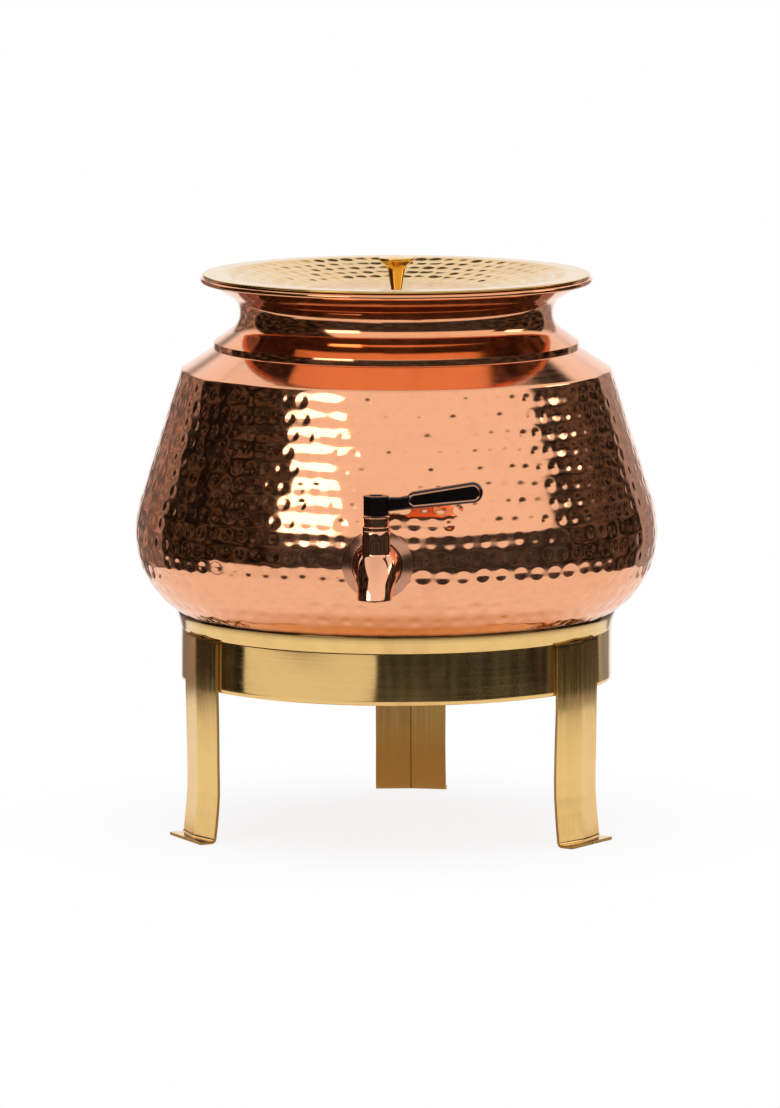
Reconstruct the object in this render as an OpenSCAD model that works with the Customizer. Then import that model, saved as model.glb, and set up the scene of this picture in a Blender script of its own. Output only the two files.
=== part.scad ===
// Hammered copper water dispenser with a brass lid, a quarter-turn lever tap and a three-legged brass stand.
// Millimetres, +Z up. The origin is on the floor, on the axis of the pot. The tap faces -Y.

/* [Pot] */
// Radius of the pot at its belly
belly_r = 120; // [112:0.5:135]
// Radius of the curve that joins the flat bottom to the belly
belly_low_arc = 41.5; // [36:0.5:48]
// Radius of the curve that joins the belly to the leaning side
belly_high_arc = 55; // [40:1:70]
// Lean of the side from upright, in degrees
side_lean = 17.5; // [14:0.5:19]
// Height of the shoulder ridge above the belly
ridge_rise = 75.6; // [66:0.2:84]
// Rounding of the shoulder ridge
ridge_round = 1.8; // [1.2:0.1:3]
// Slope of the shoulder above level, in degrees
shoulder_slope = 33; // [28:0.5:36]
// Thickness of the copper sheet
copper_wall = 1; // [0.8:0.1:1.4]

/* [Neck] */
// Outer radius of the collar at the foot of the neck
collar_r = 84; // [81:0.5:88]
// Height of the upright edge of the collar
collar_edge = 2.8; // [2:0.1:4]
// Slope of the collar above level, in degrees
collar_slope = 35; // [28:0.5:38]
// Radius of the neck at its narrowest
neck_r = 72; // [69:0.5:75]
// Radius of the two hollow curves of the neck
neck_arc = 9; // [6:0.5:10]
// Height of the rim above the foot of the collar
neck_rise = 31.5; // [30:0.5:38]
// Slope of the flared rim above level, in degrees
rim_slope = 30; // [22:0.5:34]
// Outer radius of the rolled rim
rim_r = 90; // [87:0.5:94]
// Radius of the bead rolled into the rim
rim_bead = 1.3; // [1:0.1:1.8]

/* [Lid] */
// Outer radius of the lid
lid_r = 89; // [87:0.5:91]
// Thickness of the lid sheet
lid_wall = 1.2; // [0.8:0.1:1.6]
// Width of the level border of the lid
lid_border = 9; // [6:0.5:12]
// Depth of the dish below the border
lid_depth = 7.8; // [6:0.2:9]
// Rounding of the edge between dish and border
lid_border_round = 2; // [1.4:0.1:4]
// Rounding of the edge between dish and middle
lid_middle_round = 4; // [1:0.5:8]
// Radius of the level middle of the lid
lid_middle_r = 44; // [36:1:52]
// Height of the knob
knob_h = 15.8; // [13:0.2:20]
// Radius of the top of the knob
knob_r = 8.2; // [7:0.1:10]
// Radius of the waist of the knob
knob_waist_r = 2.3; // [2.1:0.1:3]
// Height of the knob's flare below its edge
knob_flare = 4.5; // [3:0.1:6]
// Rise of the knob's crown above its edge
knob_crown = 0.9; // [0.4:0.1:1.4]
// Height of the knob's upright edge
knob_edge = 1.2; // [0.8:0.1:1.6]
// Radius of the threaded stud under the knob
stud_r = 2; // [1.6:0.1:2]
// Radius of the washer under the lid
stud_washer_r = 5; // [4.6:0.1:6]
// Thickness of the washer under the lid
stud_washer_t = 0.8; // [0.5:0.1:1.2]
// Width of the stud's nut across its flats
stud_nut_w = 7; // [6:0.1:8]
// Height of the stud's nut
stud_nut_h = 3.2; // [2.4:0.1:4]

/* [Stand] */
// Height of the seat on which the pot rests
seat_z = 100; // [90:1:120]
// Outer radius of the band
band_r = 99.2; // [96:0.2:104]
// Thickness of the band and of the seat ring
band_wall = 1.2; // [1:0.1:1.6]
// Height of the band
band_h = 23; // [18:0.5:30]
// Height of the flared lip above the band
lip_h = 7; // [5:0.5:10]
// Outward flare of the lip at its top edge
lip_flare = 1.6; // [1:0.1:2.5]
// Height of the skirt that holds the seat ring inside the band
skirt_h = 8; // [5:0.5:12]
// Width of each leg
leg_w = 33.5; // [28:0.5:40]
// Thickness of the leg strip
leg_wall = 1.4; // [1.2:0.1:2]
// Angle by which each half of a leg folds back from its crease, in degrees
leg_fold = 8; // [6:0.5:9]
// Inward bow of the leg below the band
leg_bow = 1.5; // [0:0.1:3]
// Outward kick of the leg at the floor
leg_kick = 1.2; // [0:0.1:3]
// Height at which the leg bows in most
leg_bow_z = 35; // [25:1:45]
// Radius of the leg's slow curves
leg_curve = 60; // [30:5:100]
// Reach of the foot in front of the leg
foot_reach = 7; // [5:0.5:12]
// Radius of the bend between leg and foot
foot_bend = 2.6; // [2.2:0.1:3.6]

/* [Tap body] */
// Height of the tap above the widest line of the belly
tap_rise = 0.4; // [0.2:0.1:3]
// Radius of the barrel
barrel_r = 11; // [10.5:0.1:12]
// Radius of the threaded shank
shank_r = 8; // [7.4:0.1:8.4]
// Radius of the bore through the shank
shank_bore_r = 3.2; // [2.6:0.1:3.4]
// Distance of the stem from the wall of the pot
stem_reach = 11.5; // [11.2:0.1:12]
// Distance of the outlet from the wall of the pot
spout_reach = 21.5; // [21:0.1:23]
// Outer radius of the spout
spout_r = 7.75; // [7.4:0.05:8.2]
// Radius of the bore of the spout
spout_bore_r = 5.5; // [5:0.1:5.7]
// Drop of the outlet below the axis of the tap
spout_drop = 13.5; // [12.8:0.1:14.5]
// Thickness left between the chamber of the ball and the bore of the spout
spout_roof = 2.2; // [1.8:0.1:2.8]
// Radius of the barrel's front end above the spout
nose_r = 7; // [6.6:0.1:7.6]
// Thickness of the barrel's front end
nose_wall = 2.4; // [2:0.1:2.8]
// Rounding of the barrel where it draws in towards its front end
nose_round = 4; // [2:0.5:6]
// Radius of the boss and the bonnet
bonnet_r = 6.2; // [5.8:0.1:6.6]
// Height of the boss above the axis of the tap
boss_z = 16.5; // [15.6:0.1:18]
// Height of the bonnet above the boss
bonnet_h = 6.5; // [5:0.1:8]
// Radius of the rosette
rosette_r = 15.9; // [15:0.1:18]
// Depth of the rosette's cone
rosette_h = 3.8; // [3:0.1:5]
// Thickness of the rosette's floor
rosette_wall = 1.2; // [0.8:0.1:1.4]
// Thickness of the rosette's outer and inner edges
rosette_edge = 0.6; // [0.4:0.1:0.8]

/* [Tap fixing] */
// Thickness of the rubber gasket under the rosette, on the axis
gasket_t = 1.2; // [0.8:0.1:1.6]
// Radius of the gasket under the rosette
gasket_r = 14.2; // [13:0.1:14.8]
// Radius of the gasket, washer and nut stack inside the pot
inner_gasket_r = 13; // [12.4:0.1:13.6]
// Thickness of the inner gasket at its edge
inner_gasket_edge = 1.2; // [0.8:0.1:2]
// Thickness of the steel washer inside the pot
washer_t = 1.5; // [1:0.1:2]
// Width of the lock nut across its flats
lock_nut_w = 22; // [21:0.5:25]
// Height of the lock nut
lock_nut_h = 5; // [4:0.2:7]
// Length of shank left beyond the lock nut
shank_tail = 3; // [1:0.5:6]

/* [Valve] */
// Radius of the ball
ball_r = 5; // [4.6:0.05:5.1]
// Radius of the bore through the ball
ball_bore_r = 2.7; // [2.2:0.05:2.8]
// Gap between the ball and the chamber around it
chamber_gap = 0.3; // [0.2:0.05:0.5]
// Thickness of each seat ring behind the ball
valve_seat_back = 0.6; // [0.5:0.05:0.8]
// Width of each seat ring along the axis
valve_seat_w = 2.7; // [2.3:0.1:2.8]
// Radius of the stem
stem_r = 3; // [2.6:0.05:3.1]
// Radius of the collar that keeps the stem in
stem_collar_r = 4.5; // [4.2:0.05:4.7]
// Height of the collar that keeps the stem in
stem_collar_h = 1.9; // [1.4:0.1:2.2]
// Thickness of the floor between the chamber and the stem's gland
gland_floor_t = 3.1; // [2.8:0.1:3.6]
// Thickness of the tang that turns the ball
tang_t = 2; // [1.6:0.1:2.4]
// Depth of the tang in the ball
tang_depth = 1.4; // [1:0.1:1.6]
// Width of the square at the top of the stem
stem_square = 4; // [3.4:0.1:4.2]

/* [Lever] */
// Radius of the lever's hub
hub_r = 5.75; // [5.4:0.05:6.4]
// Height of the hub
hub_h = 8.8; // [8:0.1:11]
// Distance from the stem to the tip of the lever
lever_reach = 47.6; // [42:0.2:60]
// Distance from the stem to the near end of the paddle
paddle_start = 13.6; // [12:0.2:17]
// Height of the paddle at its near end
paddle_near_h = 7.5; // [7:0.1:8]
// Height of the paddle at its tip
paddle_h = 9.2; // [8.2:0.1:10]
// Thickness of the paddle
paddle_t = 5; // [4:0.1:6]
// Height of the paddle's middle line above the foot of the hub, on the stem
arm_rise = 4.7; // [4.2:0.1:5]
// Height of the arm's lower edge above the foot of the hub, on the stem
arm_low = 1.1; // [0.8:0.1:1.6]
// Drop of the arm's upper edge below the top of the hub
arm_drop = 0.6; // [0.5:0.1:1]
// Length of the slope from the arm up to the paddle
arm_slope = 3.2; // [2.6:0.1:3.6]
// Rounding of the lever's edges
lever_edge = 0.5; // [0.3:0.05:0.8]
// Upward tilt of the lever, in degrees
lever_tilt = 7.8; // [6:0.2:9]
// Inset of the bright trim from the paddle's edge
trim_inset = 1; // [0.7:0.05:1.4]
// Width of the bright outline
trim_w = 0.6; // [0.4:0.05:0.8]
// Depth of the bright trim in the paddle
trim_depth = 0.5; // [0.3:0.05:0.7]
// Radius of the screw head on the hub
screw_head_r = 2.8; // [2.4:0.05:3]
// Height of the screw head on the hub
screw_head_h = 1.6; // [1.2:0.1:2]
// Depth of the screw head below the top of the hub
screw_sink = 0.4; // [0.2:0.1:0.8]
// Thickness of the hub under the screw head
hub_web = 1.5; // [1:0.1:2]
// Radius of the screw's thread
screw_r = 1.25; // [1:0.05:1.4]
// Length of the screw's thread
screw_l = 5.6; // [4.5:0.1:7]

/* [Clearances] */
// Gap between parts that lift apart
lift_gap = 0.3; // [0.2:0.05:0.5]
// Gap in a joint that is brazed, screwed or pressed
joint_gap = 0.05; // [0.03:0.01:0.08]
// Gap around a bolt or tube in its hole
hole_gap = 0.25; // [0.15:0.05:0.4]
// Rounding of small machined edges
edge_round = 0.4; // [0.2:0.05:0.6]
// Gap between the lever and the bonnet
hub_gap = 0.5; // [0.3:0.1:0.8]

/* [Hidden] */
$fn = 96;
arc_step = 7.5;
overcut = 1;
least_leg = 0.001;
least_round = 0.01;

// Colours
copper = [0.86, 0.52, 0.38];
brass = [0.80, 0.66, 0.38];
gold = [0.85, 0.62, 0.18];
plate = [0.84, 0.50, 0.38];
chrome = [0.72, 0.72, 0.74];
rubber = [0.16, 0.16, 0.17];
nylon = [0.90, 0.89, 0.84];
black = [0.05, 0.05, 0.06];

// Heights and radii of the stand
lip_r = band_r + lip_flare;
band_top = seat_z - lip_h;
band_bottom = band_top - band_h;
seat_r = lip_r - band_wall;
leg_half = leg_w / 2;
leg_crease_x = (band_r + joint_gap) / cos(leg_fold);
leg_top = band_top - joint_gap;
leg_edge_x = leg_crease_x - leg_half * sin(leg_fold);
foot_upright = 2 * foot_bend;
leg_angles = [210, 330, 90];

// Outline of the pot, from the middle of the bottom to the mouth
flat_r = belly_r - belly_low_arc;
belly_z = seat_z + lift_gap + sqrt(pow(belly_low_arc, 2) - pow(seat_r - flat_r, 2));
bottom_z = belly_z - belly_low_arc;
lean_corner_z = belly_z + belly_high_arc * tan(side_lean / 2);
ridge_z = belly_z + ridge_rise;
ridge_r = belly_r - (ridge_z - lean_corner_z) * tan(side_lean);
mouth_r = neck_r;
body_path = [
    [0, bottom_z, 0],
    [belly_r, bottom_z, belly_low_arc],
    [belly_r, lean_corner_z, belly_high_arc],
    [ridge_r, ridge_z, ridge_round],
    [mouth_r, shoulder_z(mouth_r), 0]
];

// Outline of the neck, from the foot of the collar to the rim
collar_z = shoulder_z(collar_r);
collar_top_z = collar_z + collar_edge;
neck_low_z = collar_top_z + (collar_r - neck_r) * tan(collar_slope);
rim_z = collar_z + neck_rise;
rim_path_r = rim_r - rim_bead;
neck_high_z = rim_z - (rim_path_r - neck_r) * tan(rim_slope);
neck_turn = tan((90 - collar_slope) / 2) + tan((90 - rim_slope) / 2);
neck_round = min(neck_arc, (neck_high_z - neck_low_z) / neck_turn);
neck_path = [
    [collar_r, collar_z - overcut, 0],
    [collar_r, collar_top_z, copper_wall / 2],
    [neck_r, neck_low_z, neck_round],
    [neck_r, neck_high_z, neck_round],
    [rim_path_r, rim_z, 0]
];

// Heights of the lid
lid_top_z = rim_z + rim_bead + lift_gap + lid_wall;
lid_middle_z = lid_top_z - lid_depth;
lid_under_z = lid_middle_z - lid_wall;
stud_hole_r = stud_r + joint_gap * 2;
stud_nut_z = lid_under_z - stud_washer_t;
stud_end_z = stud_nut_z - stud_nut_h - stud_r;
lid_path = [
    [stud_hole_r, lid_middle_z, 0],
    [lid_middle_r, lid_middle_z, lid_middle_round],
    [lid_r - lid_border, lid_top_z, lid_border_round],
    [lid_r, lid_top_z, 0]
];

// Places along the axis of the tap, outwards from the wall of the pot
tap_z = belly_z + tap_rise;
rosette_back = gasket_t;
barrel_back = rosette_back + rosette_wall;
bend_reach = spout_reach - spout_drop;
inlet_seat_back = stem_reach - ball_r - valve_seat_back;
outlet_seat_front = stem_reach + ball_r + valve_seat_back;
chamber_r = ball_r + chamber_gap;
nose_front = outlet_seat_front + nose_wall;
spout_bore_l = spout_drop - chamber_r - spout_roof;
inner_wall_reach = -copper_wall;
inner_gasket_sag = bulge(inner_gasket_r, belly_low_arc - copper_wall);
inner_gasket_back = inner_wall_reach - inner_gasket_sag - inner_gasket_edge;
washer_back = inner_gasket_back - washer_t;
nut_back = washer_back - lock_nut_h;
shank_back = nut_back - shank_tail;
wall_hole_r = shank_r + hole_gap;

// Heights above the axis of the tap
tang_z = ball_r - tang_depth;
tang_r = min(stem_r, ball_r + valve_seat_back - valve_seat_w - 2 * joint_gap);
gland_floor_z = chamber_r + gland_floor_t;
gland_r = stem_collar_r + 2 * joint_gap;
ring_section_r = (gland_r - stem_r) / 2 - joint_gap;
ring_z = gland_floor_z + joint_gap + stem_collar_h + joint_gap + ring_section_r;
gland_plug_z = ring_z + ring_section_r + joint_gap;
bonnet_z = boss_z + bonnet_h;
hub_z = bonnet_z + hub_gap;
hub_top_z = hub_z + hub_h;
screw_seat_z = hub_top_z - screw_head_h - screw_sink;
square_top_z = screw_seat_z - hub_web - joint_gap;
screw_tip_z = screw_seat_z - screw_l;

// Paddle of the lever, as the centres of its two round ends seen from the front
paddle_near_r = paddle_near_h / 2;
paddle_r = paddle_h / 2;
paddle_near_x = paddle_start + paddle_near_r;
paddle_far_x = lever_reach - paddle_r;
paddle_l = (paddle_far_x - paddle_near_x) / cos(lever_tilt);
paddle_taper = asin((paddle_r - paddle_near_r) / paddle_l);
paddle_z = hub_z + arm_rise + paddle_near_x * tan(lever_tilt);

// Height of the outside of the shoulder at a radius
function shoulder_z(r) = ridge_z + (ridge_r - r) * tan(shoulder_slope);

// Fall of a curve away from its tangent at a distance from the touching point
function bulge(distance, radius) = radius - sqrt(pow(radius, 2) - pow(distance, 2));

function unit(v) = v / norm(v);
function turn_left(v) = [-v[1], v[0]];
function point(p) = [p[0], p[1]];
function cross_z(a, b) = a[0] * b[1] - a[1] * b[0];

// Points of the arc of radius r that rounds the corner b between a and c
function corner_arc(a, b, c, r) =
    let (
        to_a = unit(a - b),
        to_c = unit(c - b),
        half = acos(to_a * to_c) / 2,
        start = b + to_a * r / tan(half),
        centre = b + unit(to_a + to_c) * r / sin(half),
        first = atan2(start[1] - centre[1], start[0] - centre[0]),
        sweep = (180 - 2 * half) * sign(cross_z(b - a, c - b)),
        steps = max(2, ceil(abs(sweep) / arc_step))
    )
    [for (i = [0 : steps]) centre + r * [cos(first + sweep * i / steps), sin(first + sweep * i / steps)]];

// Points of an arc about a centre, from one angle to another
function arc(centre, r, first, last) =
    let (steps = ceil((last - first) / arc_step))
    [for (i = [0 : steps])
        let (angle = first + (last - first) * i / steps)
        centre + r * [cos(angle), sin(angle)]];

// List of points without those that repeat the one before
function distinct(points) =
    [for (i = [0 : len(points) - 1])
        if (i == 0 || norm(points[i] - points[max(i - 1, 0)]) > least_leg) points[i]];

// Points of a path whose entries are [x, y, rounding of the corner]
function rounded(path) =
    distinct([for (i = [0 : len(path) - 1])
        each (i == 0 || i == len(path) - 1 || path[i][2] <= 0)
            ? [point(path[i])]
            : corner_arc(point(path[i - 1]), point(path[i]), point(path[i + 1]), path[i][2])]);

// Normal on the left of the leg of a path that starts at entry i
function leg_normal(path, i) = turn_left(unit(point(path[i + 1]) - point(path[i])));

// Path moved to its left by a distance, with its roundings kept concentric
function moved_left(path, distance) =
    let (last = len(path) - 1)
    [for (i = [0 : last])
        let (
            before = leg_normal(path, max(i - 1, 0)),
            after = leg_normal(path, min(i, last - 1)),
            place = point(path[i]) + (before + after) * distance / (1 + before * after),
            round_change = distance * sign(cross_z(before, after))
        )
        [place[0], place[1], path[i][2] > 0 ? max(path[i][2] - round_change, least_round) : 0]];

function backwards(list) = [for (i = [len(list) - 1 : -1 : 0]) list[i]];

// Section of a sheet that follows a path, with its thickness on the left of the path
function sheet(path, wall) = concat(rounded(path), backwards(rounded(moved_left(path, wall))));

// Parts along the axis of the tap: z of the child is the distance outwards from the wall of the pot
module along_tap() {
    translate([0, -belly_r, tap_z])
        rotate([90, 0, 0])
            children();
}

// Parts on an upright axis at a distance outwards from the wall of the pot
module above_tap(reach) {
    translate([0, -belly_r - reach, tap_z])
        children();
}

// Round rod that bends from the axis of the tap straight down to the outlet
module spout_bend(rod_r) {
    above_tap(bend_reach)
        translate([0, 0, -spout_drop])
            rotate(a = 180, v = [1, 0, 1])
                rotate_extrude(angle = 90)
                    translate([spout_drop, 0])
                        circle(r = rod_r);
}

// Tube from one height to another
module tube(outer_r, inner_r, low, high) {
    translate([0, 0, low])
        difference() {
            cylinder(r = outer_r, h = high - low);
            translate([0, 0, -overcut])
                cylinder(r = inner_r, h = high - low + 2 * overcut);
        }
}

// Hexagon by its width across flats, from one height to another
module hexagon(width, low, high) {
    translate([0, 0, low])
        cylinder(d = width / cos(30), h = high - low, $fn = 6);
}

// Solid of everything inside the pot's outer face, grown by a gap
module pot_envelope(gap) {
    rotate_extrude($fn = 240)
        polygon(concat(rounded(moved_left(body_path, -gap)), [[0, shoulder_z(mouth_r)]]));
}

module stand_band() {
    color(brass)
        tube(band_r, band_r - band_wall, band_bottom, band_top);
}

// Flared seat whose skirt drops inside the band and whose step rests on the band's top edge
module stand_seat_ring() {
    skirt_r = band_r - band_wall - joint_gap;
    path = [
        [skirt_r, band_top - skirt_h, 0],
        [skirt_r, band_top, 0],
        [band_r, band_top, 0],
        [lip_r, seat_z, 0]
    ];
    color(brass)
        rotate_extrude()
            polygon(sheet(path, band_wall));
}

// One half of a leg strip, folded back from the crease, with x outwards and y along the band
module leg_half_strip() {
    path = [
        [leg_kick, 0, 0],
        [-leg_bow, leg_bow_z, leg_curve],
        [0, band_bottom, leg_curve],
        [0, leg_top, 0]
    ];
    intersection() {
        translate([leg_crease_x, 0, 0])
            rotate([0, 0, leg_fold])
                translate([0, -overcut, 0])
                    rotate([90, 0, 180])
                        mirror([1, 0, 0])
                            linear_extrude(height = leg_half + overcut)
                                polygon(sheet(path, -leg_wall));
        translate([0, 0, -overcut])
            cube([belly_r, belly_r, seat_z]);
    }
}

// Strip leg with a lengthwise crease and a foot bent outwards
module leg(angle) {
    foot_x = leg_edge_x + leg_kick;
    foot_path = [
        [foot_x, foot_upright, 0],
        [foot_x, 0, foot_bend],
        [foot_x + leg_wall + foot_reach, 0, 0]
    ];
    rotate([0, 0, angle])
        union() {
            leg_half_strip();
            mirror([0, 1, 0])
                leg_half_strip();
            translate([0, leg_half * cos(leg_fold), 0])
                rotate([90, 0, 0])
                    linear_extrude(height = leg_w * cos(leg_fold))
                        polygon(sheet(foot_path, leg_wall));
        }
}

module stand_leg_left() {
    color(brass)
        leg(leg_angles[0]);
}

module stand_leg_right() {
    color(brass)
        leg(leg_angles[1]);
}

module stand_leg_rear() {
    color(brass)
        leg(leg_angles[2]);
}

// Spun bowl with a leaning side, a sharp shoulder and a hole for the tap
module pot_body() {
    color(copper)
        difference() {
            rotate_extrude()
                polygon(sheet(body_path, copper_wall));
            along_tap()
                translate([0, 0, -belly_low_arc])
                    cylinder(r = wall_hole_r, h = belly_low_arc + overcut);
        }
}

// Stepped collar, drawn-in neck and flared rim, spun from one sheet and brazed on the shoulder
module pot_neck() {
    color(copper)
        rotate_extrude()
            difference() {
                union() {
                    polygon(sheet(neck_path, copper_wall));
                    translate([rim_path_r, rim_z])
                        circle(r = rim_bead);
                }
                translate([collar_r, collar_z + joint_gap])
                    rotate(-shoulder_slope)
                        translate([-collar_r / 2, -collar_r])
                            square([collar_r, collar_r]);
            }
}

// Barrel with a drawn-in front end, a bent spout and a boss for the stem, bored for the shank and the valve
module tap_body() {
    barrel = [
        [0, barrel_back, 0],
        [barrel_r, barrel_back, 0],
        [barrel_r, bend_reach, nose_round],
        [nose_r, nose_front, nose_wall],
        [0, nose_front, 0]
    ];
    color(plate)
        difference() {
            union() {
                along_tap()
                    rotate_extrude()
                        polygon(rounded(barrel));
                spout_bend(spout_r);
                above_tap(stem_reach)
                    cylinder(r = bonnet_r, h = boss_z);
            }
            along_tap()
                translate([0, 0, barrel_back - overcut])
                    cylinder(r = shank_r + joint_gap, h = inlet_seat_back - barrel_back + overcut);
            along_tap()
                translate([0, 0, inlet_seat_back - overcut])
                    cylinder(r = chamber_r, h = outlet_seat_front - inlet_seat_back + overcut);
            intersection() {
                spout_bend(shank_bore_r);
                above_tap(outlet_seat_front - overcut)
                    translate([-barrel_r, -2 * spout_reach, -2 * spout_drop])
                        cube([2 * barrel_r, 2 * spout_reach, 4 * spout_drop]);
            }
            above_tap(spout_reach)
                translate([0, 0, -spout_drop - overcut])
                    cylinder(r = spout_bore_r, h = spout_bore_l + overcut);
            above_tap(stem_reach)
                cylinder(r = stem_r + joint_gap, h = boss_z);
            above_tap(stem_reach)
                translate([0, 0, gland_floor_z])
                    cylinder(r = gland_r, h = boss_z);
        }
}

// Threaded tube that passes the wall of the pot and presses the inlet seat home
module tap_shank() {
    color(chrome)
        along_tap()
            tube(shank_r, shank_bore_r, shank_back, inlet_seat_back - joint_gap);
}

// Conical cover ring with a floor that the barrel clamps
module tap_rosette() {
    section = [
        [wall_hole_r, rosette_back],
        [rosette_r, rosette_back],
        [rosette_r, rosette_back + rosette_edge],
        [barrel_r + joint_gap + rosette_edge, rosette_back + rosette_h],
        [barrel_r + joint_gap, rosette_back + rosette_h],
        [barrel_r + joint_gap, barrel_back],
        [wall_hole_r, barrel_back]
    ];
    color(plate)
        along_tap()
            rotate_extrude()
                polygon(section);
}

// Rubber ring, flat under the rosette and hollowed to the curve of the pot
module tap_front_gasket() {
    color(rubber)
        difference() {
            along_tap()
                tube(gasket_r, wall_hole_r, -bulge(gasket_r, belly_low_arc) - overcut, rosette_back);
            pot_envelope(joint_gap);
        }
}

// Rubber ring inside the pot, swelled to the curve of the wall and flat under the washer
module tap_rear_gasket() {
    color(rubber)
        intersection() {
            along_tap()
                tube(inner_gasket_r, wall_hole_r, inner_gasket_back, inner_wall_reach + overcut);
            pot_envelope(-copper_wall - joint_gap);
        }
}

module tap_back_washer() {
    color(chrome)
        along_tap()
            tube(inner_gasket_r, wall_hole_r, washer_back, inner_gasket_back);
}

module tap_lock_nut() {
    color(chrome)
        along_tap()
            difference() {
                hexagon(lock_nut_w, nut_back, washer_back);
                translate([0, 0, nut_back - overcut])
                    cylinder(r = shank_r + joint_gap, h = lock_nut_h + 2 * overcut);
            }
}

// Gland nut that closes the boss, with a plug that presses on the packing ring
module tap_bonnet() {
    section = [
        [stem_r + joint_gap, gland_plug_z],
        [gland_r - joint_gap, gland_plug_z],
        [gland_r - joint_gap, boss_z],
        [bonnet_r, boss_z],
        [bonnet_r, bonnet_z - edge_round],
        [bonnet_r - edge_round, bonnet_z],
        [stem_r + joint_gap, bonnet_z]
    ];
    color(plate)
        above_tap(stem_reach)
            rotate_extrude()
                polygon(section);
}

// Ring beside the ball, hollowed to the ball, from one place on the axis of the tap to another
module valve_seat(low, high) {
    color(nylon)
        difference() {
            along_tap()
                tube(chamber_r - joint_gap, shank_bore_r, low, high);
            above_tap(stem_reach)
                sphere(r = ball_r + joint_gap);
        }
}

module tap_inlet_seat() {
    valve_seat(inlet_seat_back, inlet_seat_back + valve_seat_w);
}

module tap_outlet_seat() {
    valve_seat(outlet_seat_front - valve_seat_w, outlet_seat_front);
}

module tap_stem_oring() {
    color(rubber)
        above_tap(stem_reach)
            translate([0, 0, ring_z])
                rotate_extrude()
                    translate([(gland_r + stem_r) / 2, 0])
                        circle(r = ring_section_r);
}

// Stem with a tang for the ball, a collar under the packing and a square for the lever
module tap_stem() {
    color(chrome)
        above_tap(stem_reach)
            difference() {
                union() {
                    translate([0, 0, chamber_r])
                        cylinder(r = stem_r, h = bonnet_z - chamber_r);
                    translate([0, 0, gland_floor_z + joint_gap])
                        cylinder(r = stem_collar_r, h = stem_collar_h);
                    intersection() {
                        translate([-tang_r, -tang_t / 2, tang_z])
                            cube([2 * tang_r, tang_t, chamber_r - tang_z + overcut]);
                        cylinder(r = tang_r, h = bonnet_z);
                    }
                    translate([-stem_square / 2, -stem_square / 2, bonnet_z - overcut])
                        cube([stem_square, stem_square, square_top_z - bonnet_z + overcut]);
                }
                translate([0, 0, screw_tip_z - overcut])
                    cylinder(r = screw_r + joint_gap, h = square_top_z - screw_tip_z + 2 * overcut);
            }
}

// Ball with a straight bore, which lies across the flow while the tap is shut
module tap_ball() {
    slot_w = tang_t + 2 * joint_gap;
    color(chrome)
        above_tap(stem_reach)
            difference() {
                sphere(r = ball_r);
                rotate([0, 90, 0])
                    cylinder(r = ball_bore_r, h = 2 * ball_r + 2 * overcut, center = true);
                translate([-ball_r, -slot_w / 2, tang_z - joint_gap])
                    cube([2 * ball_r, slot_w, ball_r]);
            }
}

// Outline of the paddle seen from the front, drawn in by a margin
module paddle_outline(margin) {
    lean = 90 + paddle_taper;
    translate([paddle_near_x, paddle_z])
        rotate(lever_tilt)
            polygon(concat(
                arc([paddle_l, 0], paddle_r - margin, -lean, lean),
                arc([0, 0], paddle_near_r - margin, lean, 360 - lean)
            ));
}

// Plate of an outline seen from the front, between two distances from the middle of the lever
module lever_plate(near, far) {
    translate([0, -near, 0])
        rotate([90, 0, 0])
            linear_extrude(height = far - near)
                children();
}

// Round hub, flat arm and long paddle, with hollows for the bright trim on both faces
module tap_lever() {
    arm = [
        [0, hub_z + arm_low],
        [paddle_near_x, paddle_z - paddle_near_r * cos(lever_tilt)],
        [paddle_near_x, paddle_z],
        [paddle_start, paddle_z + paddle_near_r / 2],
        [paddle_start - arm_slope, hub_top_z - arm_drop],
        [0, hub_top_z - arm_drop]
    ];
    hub = [
        [0, hub_z],
        [hub_r, hub_z],
        [hub_r, hub_top_z - lever_edge],
        [hub_r - lever_edge, hub_top_z],
        [0, hub_top_z]
    ];
    socket_w = stem_square + 2 * joint_gap;
    color(black)
        above_tap(stem_reach)
            difference() {
                union() {
                    rotate_extrude()
                        polygon(hub);
                    lever_plate(lever_edge - paddle_t / 2, paddle_t / 2 - lever_edge)
                        polygon(arm);
                    lever_plate(-paddle_t / 2, paddle_t / 2)
                        paddle_outline(lever_edge);
                    lever_plate(lever_edge - paddle_t / 2, paddle_t / 2 - lever_edge)
                        paddle_outline(0);
                }
                translate([-socket_w / 2, -socket_w / 2, hub_z - overcut])
                    cube([socket_w, socket_w, square_top_z + joint_gap - hub_z + overcut]);
                translate([0, 0, hub_z])
                    cylinder(r = screw_r + hole_gap, h = hub_h);
                translate([0, 0, screw_seat_z])
                    cylinder(r = screw_head_r + hole_gap, h = hub_h);
                lever_plate(paddle_t / 2 - trim_depth, paddle_t)
                    trim_outline(joint_gap);
                lever_plate(-paddle_t, trim_depth - paddle_t / 2)
                    paddle_outline(trim_inset - joint_gap);
            }
}

// Narrow ring that follows the paddle's edge, widened on both sides by a gap
module trim_outline(gap) {
    difference() {
        paddle_outline(trim_inset - gap);
        paddle_outline(trim_inset + trim_w + gap);
    }
}

// Bright outline on the front of the paddle and bright plate on its back
module tap_lever_trim() {
    color(plate)
        above_tap(stem_reach) {
            lever_plate(paddle_t / 2 - trim_depth, paddle_t / 2)
                trim_outline(0);
            lever_plate(-paddle_t / 2, trim_depth - paddle_t / 2)
                paddle_outline(trim_inset);
        }
}

module tap_lever_screw() {
    color(chrome)
        above_tap(stem_reach)
            union() {
                translate([0, 0, screw_seat_z])
                    cylinder(r = screw_head_r, h = screw_head_h);
                translate([0, 0, screw_tip_z])
                    cylinder(r = screw_r, h = screw_l + screw_head_h / 2);
            }
}

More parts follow.
